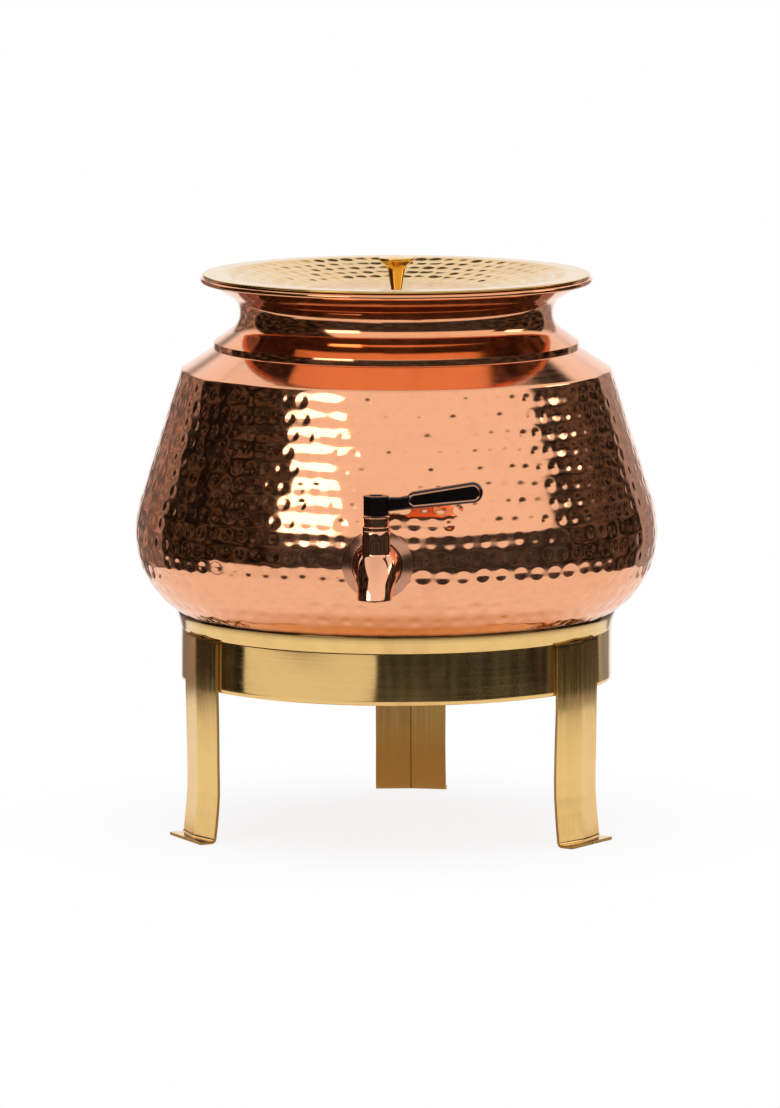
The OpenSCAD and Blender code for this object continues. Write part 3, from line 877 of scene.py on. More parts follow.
@dataclass(frozen=True)
class Hammering:
    """Rows of shallow oval dents, with some play in place, size and depth."""

    pitch: float
    spacing: tuple[float, ...]
    width: float
    height: float
    depth: tuple[float, ...]
    groove: float
    play: float
    seed: int
    power: float = 2.0
    wander: tuple[tuple[float, float], ...] = ((3.0, 1.0), (7.0, 2.5), (16.0, 0.0))
    wander_share: float = 0.6
    fewest: int = 8
    size_play: float = 0.10
    size_range: tuple[float, float] = (0.8, 1.2)
    force_play: float = 0.25
    force_range: tuple[float, float] = (0.4, 1.7)

    def depth_at(self, along: np.ndarray, girth: np.ndarray, angle: np.ndarray, rows: int) -> np.ndarray:
        """Depth of the dents over a surface of revolution. Spacing and depth run evenly over the rows.

        A point belongs to the nearest row along the section and to the nearest dent of that row. A dent is
        depth times a power of (1 - d * d), where d is the distance from its middle over its half width and
        its half height. The rows also lie in shallow grooves, as a cosine, and wander a little around the
        pot, as a sum of sines.

        Args:
            along: Distance of each section point past the first row, along the section.
            girth: Radius of each section point.
            angle: Angles around.
            rows: Number of rows.

        Returns:
            Depths, by section point and angle.
        """
        rng = np.random.default_rng(self.seed)
        drift = self.play * sum(np.sin(waves * angle + phase) for waves, phase in self.wander)
        place = along[:, None] + drift[None, :] * self.wander_share
        row = np.clip(np.rint(place / self.pitch).astype(int), 0, rows - 1)
        numbers = np.arange(rows)
        row_girth = np.interp(numbers * self.pitch, along, girth)
        down = numbers / max(rows - 1, 1)
        spacing = np.interp(down, np.linspace(0.0, 1.0, len(self.spacing)), self.spacing)
        full = np.interp(down, np.linspace(0.0, 1.0, len(self.depth)), self.depth)
        counts = np.maximum(self.fewest, np.rint(TURN * row_girth / spacing)).astype(int)
        phase = rng.uniform(0.0, 1.0, rows)
        table = (rows, int(counts.max()))
        slip_round = rng.normal(0.0, self.play, table)
        slip_along = rng.normal(0.0, self.play, table)
        size = np.clip(1.0 + rng.normal(0.0, self.size_play, table), *self.size_range)
        force = full[:, None] * np.clip(1.0 + rng.normal(0.0, self.force_play, table), *self.force_range)
        share = angle[None, :] * counts[row] / TURN + phase[row]
        dent = np.rint(share).astype(int)
        which = dent % counts[row]
        step = TURN * girth[:, None] / counts[row]
        beside = ((share - dent) * step - slip_round[row, which]) / (self.width * step)
        above = (place - row * self.pitch - slip_along[row, which]) / self.height
        reach = (beside**2 + above**2) / size[row, which] ** 2
        dents = force[row, which] * np.clip(1.0 - reach, 0.0, None) ** self.power
        within = (along > -self.pitch / 2.0) & (along < (rows - 0.5) * self.pitch)
        waves = self.groove * (0.5 + 0.5 * np.cos(TURN * place / self.pitch)) * within[:, None]
        return dents + waves


@dataclass
class PotBody:
    """Hammered copper bowl: flat bottom, round belly, leaning side, sharp shoulder."""

    low_arc: float = 41.5 * MM
    high_arc: float = 55.0 * MM
    lean: float = math.radians(17.5)
    ridge_rise: float = 75.6 * MM
    ridge_round: float = 1.8 * MM
    shoulder_slope: float = math.radians(33.0)
    mouth_r: float = 72.0 * MM
    wall: float = 1.0 * MM
    arc_step: float = math.radians(0.75)
    profile_step: float = 0.5 * MM
    segments: int = 946
    row_samples: int = 9
    lining_step: int = 9
    shoulder_rows: int = 8
    ridge_rows: int = 16
    bottom_rows: int = 12
    ridge_above: float = 4.0 * MM
    ridge_below: float = 3.0 * MM
    bottom_gap: float = 1.0 * MM
    belly_play: float = 1.0e-6
    first_row: float = 5.8 * MM
    fade_in: tuple[float, float] = (6.0 * MM, 4.0 * MM)
    fade_out: float = 4.0 * MM
    hidden_drop: float = 5.0 * MM
    hidden_share: float = 0.55
    wave_seed: int = 23
    wave_total: int = 24
    wave_most: int = 40
    wave_length: tuple[float, float] = (16.0 * MM, 50.0 * MM)
    wave_depth: float = 0.016 * MM
    wave_fade: float = 6.0 * MM
    # Heights about the seat over which the painted shade fades in, above and below.
    contact_shade_top: tuple[float, float] = (2.6 * MM, 0.8 * MM)
    contact_shade_foot: tuple[float, float] = (-6.0 * MM, -2.0 * MM)
    hammering: Hammering = Hammering(
        pitch=7.9 * MM,
        spacing=(7.6 * MM, 7.8 * MM, 8.2 * MM, 10.2 * MM, 10.2 * MM),
        width=0.40,
        height=3.4 * MM,
        depth=(0.15 * MM, 0.19 * MM, 0.24 * MM, 0.37 * MM, 0.54 * MM),
        groove=0.13 * MM,
        play=0.34 * MM,
        seed=7,
    )

    def profile(self) -> np.ndarray:
        """Outside of the bowl from the mouth over the ridge and the belly to the middle of the bottom.

        Returns:
            Points as (radius, height).
        """
        low, high = box_of("pot_body")
        belly_r, bottom_z = high[0], low[2]
        belly_z = bottom_z + self.low_arc
        corner_z = belly_z + self.high_arc * math.tan(self.lean / 2.0)
        ridge_z = belly_z + self.ridge_rise
        ridge_r = belly_r - (ridge_z - corner_z) * math.tan(self.lean)
        mouth_z = ridge_z + (ridge_r - self.mouth_r) * math.tan(self.shoulder_slope)
        path = [
            (self.mouth_r, mouth_z, 0.0),
            (ridge_r, ridge_z, self.ridge_round),
            (belly_r, corner_z, self.high_arc),
            (belly_r, bottom_z, self.low_arc),
            (0.0, bottom_z, 0.0),
        ]
        return filled(rounded(path, self.arc_step), self.profile_step)

    def build(self) -> None:
        """Makes the bowl in two shells that meet at the belly, with shared normals along the seam.

        The outside is the turned profile, sunk by the dents. The inside is the profile moved in by the wall.
        Normals are the cross product of the differences along the grid's two directions. The outside is
        marked for painted shade around the seat, where it rests in the stand.
        """
        dense = self.profile()
        reach = path_length(dense)
        ridge_z = box_of("pot_body")[0][2] + self.low_arc + self.ridge_rise
        ridge = reach[int(np.argmax(dense[:, 1] < ridge_z))]
        seat = box_of("stand_seat_ring")[1][2]
        hidden = reach[int(np.argmax((dense[:, 1] < seat - self.hidden_drop) & (reach > ridge)))]
        places = self.rows(ridge, hidden, reach[-1])
        section = resampled(dense, places)
        outward = left_normals(section)
        sunk = self.depths(places, section[:, 0], ridge, hidden)
        outer = UPRIGHT.turn(section[:, :1] - outward[:, :1] * sunk, section[:, 1:] - outward[:, 1:] * sunk)
        outer_normals = self.normals(outer, outward)
        split = int(np.argmax(section[:, 0] >= section[:, 0].max() - self.belly_play))
        coarse = np.arange(0, len(places), self.lining_step)
        coarse = np.unique(np.concatenate([coarse, [split, len(places) - 1]]))
        lining = section[coarse] - outward[coarse] * self.wall
        inner = UPRIGHT.turn(*spread(lining, self.segments))
        inner_normals = -UPRIGHT.turn(*spread(outward[coarse], self.segments))
        cut = int(np.searchsorted(coarse, split))
        top, low = slice(split + 1), slice(split, None)
        top_in, low_in = slice(cut + 1), slice(cut, None)
        upper = self.shell(outer[top], outer_normals[top], inner[top_in], inner_normals[top_in], False)
        lower = self.shell(outer[low], outer_normals[low], inner[low_in], inner_normals[low_in], True)
        add_surface(upper, "pot_side", HAMMERED_COPPER, "pot", "copper", "pot_body")
        base = add_surface(lower, "pot_base", HAMMERED_COPPER, "pot", "copper", "pot_body")
        # Painted shade on the outside of the bowl around the seat, where it rests in the lip.
        height = lower.points[:, 2] - seat
        outside = np.arange(len(height)) < (len(section) - split) * self.segments
        dark = smooth_step(height, *self.contact_shade_top) * smooth_step(height, *self.contact_shade_foot) * outside
        mark(base, CONTACT_SHADE, CONTACT_SHADE_SHARE * dark)

    def rows(self, ridge: float, hidden: float, end: float) -> np.ndarray:
        """Places of the grid's rows, which are close on the ridge and over the dents.

        Args:
            ridge: Place of the ridge along the profile.
            hidden: Place where the stand hides the bowl.
            end: Length of the profile.

        Returns:
            Distances along the profile.
        """
        above = ridge - self.ridge_above
        below = ridge + self.ridge_below
        return np.unique(np.concatenate([
            np.linspace(0.0, above, self.shoulder_rows),
            np.linspace(above, below, self.ridge_rows),
            np.arange(below, hidden, self.hammering.pitch / self.row_samples),
            np.linspace(hidden, end - self.bottom_gap, self.bottom_rows),
        ]))

    def depths(self, places: np.ndarray, girth: np.ndarray, ridge: float, hidden: float) -> np.ndarray:
        """How far the outside is sunk: the dents, which fade out at both ends, and the waves in the sheet.

        Args:
            places: Distances along the profile.
            girth: Radius at each place.
            ridge: Place of the ridge along the profile.
            hidden: Place where the stand hides the bowl.

        Returns:
            Depths, by place and angle.
        """
        first = ridge + self.first_row
        count = int((hidden - first) / self.hammering.pitch) + 1
        angle = around(self.segments)
        dents = self.hammering.depth_at(places - first, girth, angle, count)
        fade = [first - self.fade_in[0], first - self.fade_in[1], hidden, hidden + self.fade_out]
        dents *= np.interp(places, fade, [0.0, 1.0, self.hidden_share, 0.0])[:, None]
        waves = self.unevenness(places, angle)
        return dents + waves * np.interp(places, [ridge, ridge + self.wave_fade], [0.0, 1.0])[:, None]

    def unevenness(self, places: np.ndarray, angle: np.ndarray) -> np.ndarray:
        """Shallow waves left in the sheet.

        They are a sum of cosines, each of a whole number of waves around and a random length along.

        Args:
            places: Distances along the profile.
            angle: Angles around.

        Returns:
            Depths, by place and angle.
        """
        rng = np.random.default_rng(self.wave_seed)
        waves = np.zeros((len(places), len(angle)))
        for _ in range(self.wave_total):
            count = rng.integers(-self.wave_most, self.wave_most + 1)
            length = rng.uniform(*self.wave_length)
            phase = rng.uniform(0.0, TURN)
            waves += np.cos(count * angle[None, :] + TURN * places[:, None] / length + phase)
        return self.wave_depth * waves

    def normals(self, grid: np.ndarray, outward: np.ndarray) -> np.ndarray:
        """Unit normals of a grid that is closed around.

        Args:
            grid: The grid.
            outward: Normals of the plain section, which give the side.

        Returns:
            A normal for each point of the grid.
        """
        down = np.gradient(grid, axis=0)
        along = np.roll(grid, -1, axis=1) - np.roll(grid, 1, axis=1)
        normals = np.cross(down, along)
        plain = UPRIGHT.turn(*spread(outward, self.segments))
        normals *= np.sign(np.sum(normals * plain, axis=2, keepdims=True))
        return normals / np.linalg.norm(normals, axis=2, keepdims=True)

    def shell(
        self,
        outer: np.ndarray,
        outer_normals: np.ndarray,
        inner: np.ndarray,
        inner_normals: np.ndarray,
        to_middle: bool,
    ) -> Surface:
        """Closed shell between an outside and an inside grid.

        Args:
            outer: Grid of the outside, downwards.
            outer_normals: Its normals.
            inner: Grid of the inside, downwards.
            inner_normals: Its normals.
            to_middle: Whether the last rows end in the middle of the bottom, and not in an edge.

        Returns:
            The shell with its normals.
        """
        count = outer.shape[1]
        points = np.vstack([outer, inner[::-1]]).reshape(-1, 3)
        normals = np.vstack([outer_normals, inner_normals[::-1]]).reshape(-1, 3)
        quads = grid_quads(len(outer) + len(inner), count, wrap_rows=True)
        if not to_middle:
            return Surface(points, quads, None, normals).turned_outwards()
        joint = (len(outer) - 1) * count
        quads = np.delete(quads, np.arange(joint, joint + count), axis=0)
        ring = np.arange(count) + joint
        centre = len(points)
        fans = [fan(centre, ring), fan(centre + 1, ring + count, flip=True)]
        points = np.vstack([points, outer[-1].mean(0), inner[-1].mean(0)])
        normals = np.vstack([normals, [[0.0, 0.0, -1.0], [0.0, 0.0, 1.0]]])
        return Surface(points, quads, np.vstack(fans), normals).turned_outwards()


@dataclass
class PotNeck:
    """Stepped collar, drawn-in neck and flared rim with a rolled bead."""

    collar_r: float = 84.0 * MM
    collar_edge: float = 2.8 * MM
    collar_round: float = 0.7 * MM
    collar_slope: float = math.radians(35.0)
    neck_r: float = 72.0 * MM
    neck_arc: float = 9.0 * MM
    rim_slope: float = math.radians(30.0)
    bead: float = 1.3 * MM
    bead_points: int = 22
    bead_clear: float = 1.02
    wall: float = 1.0 * MM
    step: float = 1.5 * MM
    segments: int = 360

    def build(self) -> None:
        """Makes the neck: a sheet along the path, closed at the rim by most of a circle."""
        low, high = box_of("pot_neck")
        foot_z, rim_z, rim_r = low[2], high[2] - self.bead, high[0] - self.bead
        collar_top = foot_z + self.collar_edge
        low_z = collar_top + (self.collar_r - self.neck_r) * math.tan(self.collar_slope)
        high_z = rim_z - (rim_r - self.neck_r) * math.tan(self.rim_slope)
        path = [
            (self.collar_r, foot_z, 0.0),
            (self.collar_r, collar_top, self.collar_round),
            (self.neck_r, low_z, self.neck_arc),
            (self.neck_r, high_z, self.neck_arc),
            (rim_r, rim_z, 0.0),
        ]
        outer = filled(rounded(path), self.step)
        inner = outer + left_normals(outer) * self.wall
        back = math.acos(math.sqrt(1.0 - (self.wall / self.bead) ** 2))
        turns = np.linspace(math.pi, TURN + math.pi - back, self.bead_points) + self.rim_slope
        roll = outer[-1] + self.bead * np.column_stack([np.cos(turns), np.sin(turns)])
        faces = [
            face[np.linalg.norm(face - outer[-1], axis=1) > self.bead * self.bead_clear]
            for face in (outer, inner)
        ]
        section = np.vstack([faces[0], roll, faces[1][::-1]])
        neck = turned(section, self.segments)
        add_surface(neck, "pot_neck_spun", SPUN_COPPER, "pot", "copper", "pot_neck")


@dataclass
class Lid:
    """Dished brass plate with hammered rings, and a turned knob."""

    wall: float = 1.2 * MM
    border: float = 9.0 * MM
    depth: float = 7.8 * MM
    border_round: float = 2.0 * MM
    middle_round: float = 4.0 * MM
    middle_r: float = 44.0 * MM
    hole_r: float = 2.1 * MM
    plate_step: float = 0.75 * MM
    segments: int = 720
    rings: int = 5
    ring_inset: float = 4.5 * MM
    neck_r: float = 4.2 * MM
    neck_curve: float = 0.6
    waist_r: float = 2.4 * MM
    flare: float = 3.0 * MM
    crown: float = 0.9 * MM
    edge: float = 1.2 * MM
    edge_round: float = 0.5 * MM
    stud_r: float = 2.0 * MM
    stud_round: float = 0.3 * MM
    knob_step: float = math.radians(5.0)
    knob_segments: int = 96
    hammering: Hammering = Hammering(
        pitch=6.6 * MM,
        spacing=(7.0 * MM,),
        width=0.48,
        height=3.4 * MM,
        depth=(0.27 * MM,),
        groove=0.0,
        play=0.22 * MM,
        seed=11,
        power=1.0,
    )

    def build(self) -> None:
        """Makes the plate and the knob, and dresses the washer and the nut under the lid."""
        self.build_plate()
        self.build_knob()
        dress(LID_BRASS, "lid_knob_washer", "lid_knob_nut")

    def build_plate(self) -> None:
        """Makes the plate: a turned sheet whose upper face is sunk by rings of dents."""
        _, high = box_of("lid_plate")
        rim_r, top = high[0], high[2]
        path = [
            (rim_r - self.wall / 2.0, top, 0.0),
            (rim_r - self.border, top, self.border_round),
            (self.middle_r, top - self.depth, self.middle_round),
            (self.hole_r, top - self.depth, 0.0),
        ]
        upper = filled(rounded(path), self.plate_step)
        section = sheet(upper, self.wall)
        reach = path_length(upper)
        first = reach[int(np.argmax(upper[:, 0] < rim_r - self.border - self.ring_inset))]
        dents = self.hammering.depth_at(reach - first, upper[:, 0], around(self.segments), self.rings)
        sunk = np.zeros((len(section), self.segments))
        sunk[:len(upper)] = dents
        dish = turned(section, self.segments, depth=sunk)
        add_surface(dish, "lid_dish", LID_BRASS, "lid", "brass", "lid_plate")

    def build_knob(self) -> None:
        """Makes the knob with its stud: a turned profile from the crown down to the end of the stud."""
        low, high = box_of("lid_knob")
        seat = box_of("lid_plate")[1][2] - self.depth
        knob_r, top = high[0], high[2]
        edge_z = top - self.crown
        flare_z = edge_z - self.edge
        path = [
            (0.0, top, 0.0),
            (knob_r, edge_z, self.edge_round),
            (knob_r, flare_z, self.edge_round),
            (self.neck_r, flare_z - self.flare, self.neck_curve * knob_r),
            (self.waist_r, seat, 0.0),
            (self.stud_r, seat, 0.0),
            (self.stud_r, low[2], self.stud_round),
            (0.0, low[2], 0.0),
        ]
        knob = turned_solid(rounded(path, self.knob_step), self.knob_segments)
        add_surface(knob, "lid_knob_turned", KNOB_BRASS, "lid", "knob_brass", "lid_knob")


@dataclass
class Stand:
    """Brass band, flared seat ring and three creased strip legs.

    A leg is given by its name, its angle about the stand in degrees and the seed of its waver. A waver of the
    edges is a share of the width and a rate along the height.
    """

    wall: float = 1.2 * MM
    clearance: float = 0.05 * MM
    sheet_step: float = 1.5 * MM
    segments: int = 360
    band_waver: float = 0.05 * MM
    band_waves: tuple[float, float] = (5.0, 11.0)
    band_phase: float = 0.6
    band_twist: float = 3.0
    seat_round: float = 0.3 * MM
    seat_step: float = math.radians(8.0)
    # Heights below the lip's top over which its painted shade fades in.
    contact_shade: tuple[float, float] = (-2.4 * MM, 0.3 * MM)
    legs: tuple[tuple[str, float, int], ...] = (("left", 210.0, 1), ("right", 330.0, 2), ("rear", 90.0, 3))
    leg_w: float = 33.5 * MM
    leg_wall: float = 1.4 * MM
    leg_fold: float = math.radians(8.0)
    leg_bow: float = 0.9 * MM
    leg_kick: float = 1.2 * MM
    leg_bow_z: float = 22.0 * MM
    leg_curve: float = 120.0 * MM
    leg_step: float = math.radians(6.0)
    leg_row: float = 2.0 * MM
    leg_columns: int = 41
    leg_sharp: float = math.radians(60.0)
    leg_edge_round: float = 0.18 * MM
    foot_reach: float = 7.0 * MM
    foot_bend: float = 2.6 * MM
    crease_round: float = 0.8 * MM
    crease_column: float = 0.4 * MM
    edge_waver: tuple[tuple[float, float], ...] = ((0.008, 55.0), (0.005, 140.0))
    face_waver: float = 0.12 * MM
    face_rates: tuple[float, float] = (70.0, 150.0)
    face_foot: float = 6.0 * MM

    def build(self) -> None:
        """Makes the band, the seat ring and the legs."""
        self.build_band()
        self.build_seat()
        for side, degrees, seed in self.legs:
            self.build_leg(side, math.radians(degrees), seed)

    def build_band(self) -> None:
        """Makes the band: a turned upright sheet that is slightly out of round, as a sum of sines."""
        low, high = box_of("stand_band")
        radius = high[0]
        path = np.array([(radius, low[2]), (radius, high[2])])
        section = sheet(filled(path, self.sheet_step), self.wall)
        angle = around(self.segments)
        tall = (section[:, 1:] - low[2]) / (high[2] - low[2])
        slow = np.sin(self.band_waves[0] * angle + self.band_phase)
        quick = np.sin(self.band_waves[1] * angle + self.band_twist * tall)
        waver = self.band_waver * (slow + quick) + self.band_waver
        outside = np.abs(section[:, :1] - radius) < self.wall / 4.0
        band = turned(section, self.segments, depth=waver * outside)
        add_surface(band, "stand_band_brushed", BRUSHED_BRASS, "stand", "brass", "stand_band")

    def build_seat(self) -> None:
        """Makes the seat ring: a turned sheet with a skirt, a step and a flared lip, with painted shade at
        its top edge where the pot rests.
        """
        low, high = box_of("stand_seat_ring")
        _, band_high = box_of("stand_band")
        band_r, band_top = band_high[0], band_high[2]
        skirt_r = band_r - self.wall - self.clearance
        path = [
            (skirt_r, low[2], 0.0),
            (skirt_r, band_top, self.seat_round),
            (band_r, band_top, self.seat_round),
            (high[0], high[2], 0.0),
        ]
        section = sheet(filled(rounded(path, self.seat_step), self.sheet_step), self.wall)
        ring = turned(section, self.segments)
        piece = add_surface(ring, "stand_lip", LIP_BRASS, "stand", "brass", "stand_seat_ring")
        # Painted shade at the top of the lip, where the pot rests on it.
        mark(piece, CONTACT_SHADE, CONTACT_SHADE_SHARE * smooth_step(ring.points[:, 2] - high[2], *self.contact_shade))

    def leg_line(self) -> np.ndarray:
        """Side view of a leg along its edges, from the band down to the toe.

        Returns:
            Points as (distance from the axis of the stand, height).
        """
        low, high = box_of("stand_band")
        crease_x = (high[0] + self.clearance) / math.cos(self.leg_fold)
        face_x = crease_x - self.leg_w / 2.0 * math.sin(self.leg_fold) + self.leg_wall
        shin_x = face_x + self.leg_kick
        path = [
            (face_x, high[2] - self.clearance, 0.0),
            (face_x, low[2], self.leg_curve),
            (face_x - self.leg_bow, self.leg_bow_z, self.leg_curve),
            (shin_x, self.leg_wall, self.foot_bend - self.leg_wall),
            (shin_x + self.foot_reach, self.leg_wall, 0.0),
        ]
        return filled(rounded(path, self.leg_step), self.leg_row)

    def build_leg(self, side: str, turn: float, seed: int) -> None:
        """Makes a leg: the path of its side view carried across its width.

        A point's distance from the axis of the stand falls off from the crease by the tangent of the fold
        times its distance across, with a small rounding. The fold dies out along the flat foot. The edges and
        the face waver slightly, as sums of sines. The inner face and the cut edges are rougher, with their
        colour darkened as painted shade and a painted dark line along the crease.

        Args:
            side: Which leg.
            turn: Angle of the leg about the stand.
            seed: Seed of its waver.
        """
        line = self.leg_line()
        height = line[:, 1:]
        half = self.leg_w / 2.0
        phase = np.random.default_rng(seed).uniform(0.0, TURN, 4)
        across = half * np.sin(np.linspace(-0.5, 0.5, self.leg_columns) * math.pi)
        across = np.sort(np.concatenate([across, [-self.crease_column, self.crease_column]]))
        fold = np.clip((line[-1, 0] - line[:, :1]) / self.foot_reach, 0.0, 1.0)
        from_crease = np.sqrt(across**2 + self.crease_round**2) - self.crease_round
        rise = (half - from_crease)[None, :] * math.tan(self.leg_fold) * fold
        down, aside = self.face_rates
        waver = self.face_waver * (np.sin(height * down + phase[2]) * np.sin(across * aside + phase[3]))
        out = line[:, :1] + rise - np.abs(waver) * (height > self.face_foot)
        narrowed = sum(
            share * (np.sin(height * rate + start) - 1.0)
            for (share, rate), start in zip(self.edge_waver, phase)
        )
        beside = across[None, :] * (1.0 + narrowed)
        points = np.stack([
            out * math.cos(turn) - beside * math.sin(turn),
            out * math.sin(turn) + beside * math.cos(turn),
            np.broadcast_to(height, out.shape),
        ], axis=-1).reshape(-1, 3)
        quads = grid_quads(len(line), len(across), wrap_columns=False)[:, ::-1]
        node = f"stand_leg_{side}"
        strip = Surface(points, quads)
        piece = add_surface(
            strip, f"{node}_strip", STRIP_BRASS, "stand", "brass", node, crease=self.leg_sharp
        )
        # Distance across from the crease, for the painted dark line along it.
        mark(piece, FOLD, np.tile(across, len(line)))
        # The inner face and the cut edges take the darker brass: painted shade.
        piece.data.materials.append(ROUGH_SHADED_BRASS.material())
        thick = piece.modifiers.new("sheet", "SOLIDIFY")
        thick.material_offset = 1
        thick.material_offset_rim = 1
        thick.thickness = self.leg_wall
        thick.offset = -1.0
        thick.use_even_offset = True
        soft = piece.modifiers.new("edges", "BEVEL")
        soft.width = self.leg_edge_round
        soft.segments = 2
        soft.limit_method = "ANGLE"
        soft.angle_limit = self.leg_sharp


PLAIN_EDGE = math.radians(30.0)


def smooth_union(first: np.ndarray, second: np.ndarray, reach: float) -> np.ndarray:
    """Distance to two shapes that run into each other.

    It is the smaller distance, less the square of the overlap of the reach over four reaches.

    Args:
        first: Distances to one shape.
        second: Distances to the other.
        reach: Width of the blend.

    Returns:
        Distances to the blended shape.
    """
    overlap = np.clip(reach - np.abs(first - second), 0.0, None)
    return np.minimum(first, second) - overlap**2 / (4.0 * reach)


def smooth_common(first: np.ndarray, second: np.ndarray, reach: float) -> np.ndarray:
    """Distance to the common part of two shapes, with its edge rounded over a reach."""
    return -smooth_union(-first, -second, reach)


def cut_away(piece: bpy.types.Object, tool: Surface) -> None:
    """Takes the volume of a closed surface away from a piece.

    Args:
        piece: The piece.
        tool: The volume.
    """
    cutter = put("cutter", tool.mesh("cutter", PLAIN_EDGE))
    change = piece.modifiers.new("bore", "BOOLEAN")
    change.operation = "DIFFERENCE"
    change.solver = "EXACT"
    change.object = cutter
    depsgraph = bpy.context.evaluated_depsgraph_get()
    mesh = bpy.data.meshes.new_from_object(piece.evaluated_get(depsgraph), depsgraph=depsgraph)
    piece.modifiers.remove(change)
    piece.data = mesh
    mesh.set_sharp_from_angle(angle=SHARP_EDGE)
    bpy.data.objects.remove(cutter)


@dataclass
class Tap:
    """Copper-plated tap: cast body, cover ring, bonnet, and the fixing inside the pot.

    The bonnet's corners are given as (distance inside the boss, distance from the seam or from the top,
    rounding).
    """

    barrel_r: float = 11.0 * MM
    spout_r: float = 7.75 * MM
    spout_bore_r: float = 5.5 * MM
    spout_bore_l: float = 6.0 * MM
    spout_reach: float = 21.5 * MM
    bend: float = math.radians(72.0)
    outlet_round: float = 0.7 * MM
    boss_r: float = 6.2 * MM
    boss_round: float = 0.3 * MM
    boss_fillet: float = 0.9 * MM
    back_round: float = 0.5 * MM
    cast_rows: int = 210
    cast_columns: int = 300
    cast_middle: float = 0.42
    cast_reach: float = 40.0 * MM
    cast_halvings: int = 26
    bore_below: float = 2.0 * MM
    bore_above: float = 5.0 * MM
    bore_segments: int = 96
    rosette_edge: float = 0.9 * MM
    rosette_floor: float = 1.2 * MM
    rosette_lip: float = 0.5 * MM
    rosette_back_round: float = 0.25 * MM
    rosette_edge_round: float = 0.4 * MM
    rosette_lip_round: float = 0.25 * MM
    rosette_bore_round: float = 0.15 * MM
    rosette_step: float = math.radians(12.0)
    rosette_segments: int = 160
    barrel_gap: float = 0.05 * MM
    shank_gap: float = 0.25 * MM
    stem_r: float = 3.05 * MM
    bonnet_thread: float = 1.65 * MM
    bonnet_foot: tuple[Corner, ...] = (
        (1.65 * MM, 0.0, 0.0),
        (0.2 * MM, 0.0, 0.0),
        (0.0, 0.3 * MM, 0.15 * MM),
        (0.0, 1.9 * MM, 0.3 * MM),
        (0.55 * MM, 2.1 * MM, 0.1 * MM),
    )
    bonnet_flange: tuple[Corner, ...] = (
        (0.55 * MM, 0.55 * MM, 0.1 * MM),
        (0.05 * MM, 0.5 * MM, 0.15 * MM),
        (0.05 * MM, 0.0, 0.2 * MM),
    )
    bonnet_step: float = math.radians(15.0)
    bonnet_segments: int = 128
    shank_r: float = 8.0 * MM
    shank_bore_r: float = 3.2 * MM
    shank_step: float = 0.2 * MM
    shank_segments: int = 96
    shank_sharp: float = math.radians(70.0)
    thread_pitch: float = 1.6 * MM
    thread_depth: float = 0.55 * MM
    thread_end: float = 0.3 * MM

    def __post_init__(self) -> None:
        """Finds the wall of the pot and the height of the tap in the frame."""
        low, high = box_of("tap_shank")
        stem_low, stem_high = box_of("tap_stem")
        stem_y = (stem_low[1] + stem_high[1]) / 2.0
        self.wall_y = -box_of("pot_body")[1][0]
        self.axis_z = (low[2] + high[2]) / 2.0
        self.stem_reach = self.wall_y - stem_y
        self.along = Axis((0.0, self.wall_y, self.axis_z), (0.0, -1.0, 0.0), (1.0, 0.0, 0.0))
        self.stem = upright_at(stem_y, self.axis_z)

    def build(self) -> None:
        """Makes the body, the cover ring, the bonnet and the threaded shank, and dresses the rest."""
        self.build_body()
        self.build_rosette()
        self.build_bonnet()
        self.build_shank()
        dress(RUBBER, "tap_front_gasket", "tap_rear_gasket", "tap_stem_oring")
        dress(CHROME, "tap_back_washer", "tap_lock_nut")
        dress(SEAT_NYLON, "tap_inlet_seat", "tap_outlet_seat")

    def heights(self, node: str) -> tuple[float, float]:
        """Lowest and highest point of a CAD node, above the axis of the tap."""
        low, high = box_of(node)
        return low[2] - self.axis_z, high[2] - self.axis_z

    def reaches(self, node: str) -> tuple[float, float]:
        """Back and front of a CAD node, as distances outwards from the pot's wall."""
        low, high = box_of(node)
        return self.wall_y - high[1], self.wall_y - low[1]

    def distance(self, points: np.ndarray) -> np.ndarray:
        """Signed distance to the cast body, with points as (sideways, outwards, up) from the pot's wall.

        The barrel is a rod that bends down along an arc to the outlet, and its radius falls smoothly along
        the arc. The boss is an upright cylinder. The two run into each other: the smaller distance, less a
        term that grows where they are alike.

        Args:
            points: Points to measure.

        Returns:
            Distances, negative inside.
        """
        side, out, up = points[..., 0], points[..., 1], points[..., 2]
        back, _ = self.reaches("tap_body")
        bottom, top = self.heights("tap_body")
        bend_r = -bottom / (1.0 - math.cos(self.bend))
        ahead = out - self.spout_reach + bend_r * math.sin(self.bend)
        above = up + bend_r
        drawn_in = smooth_step(np.arctan2(ahead, above), 0.0, self.bend)
        rod_r = self.spout_r + (self.barrel_r - self.spout_r) * (1.0 - drawn_in)
        from_line = np.where(ahead < 0.0, above, np.hypot(ahead, above)) - bend_r
        rod = np.sqrt(side**2 + from_line**2) - rod_r
        rod = smooth_common(rod, bottom - up, self.outlet_round)
        from_boss = np.sqrt(side**2 + (out - self.stem_reach) ** 2) - self.boss_r
        boss = np.maximum(smooth_common(from_boss, up - top, self.boss_round), -up)
        body = smooth_union(rod, boss, self.boss_fillet)
        return smooth_common(body, back - out, self.back_round)

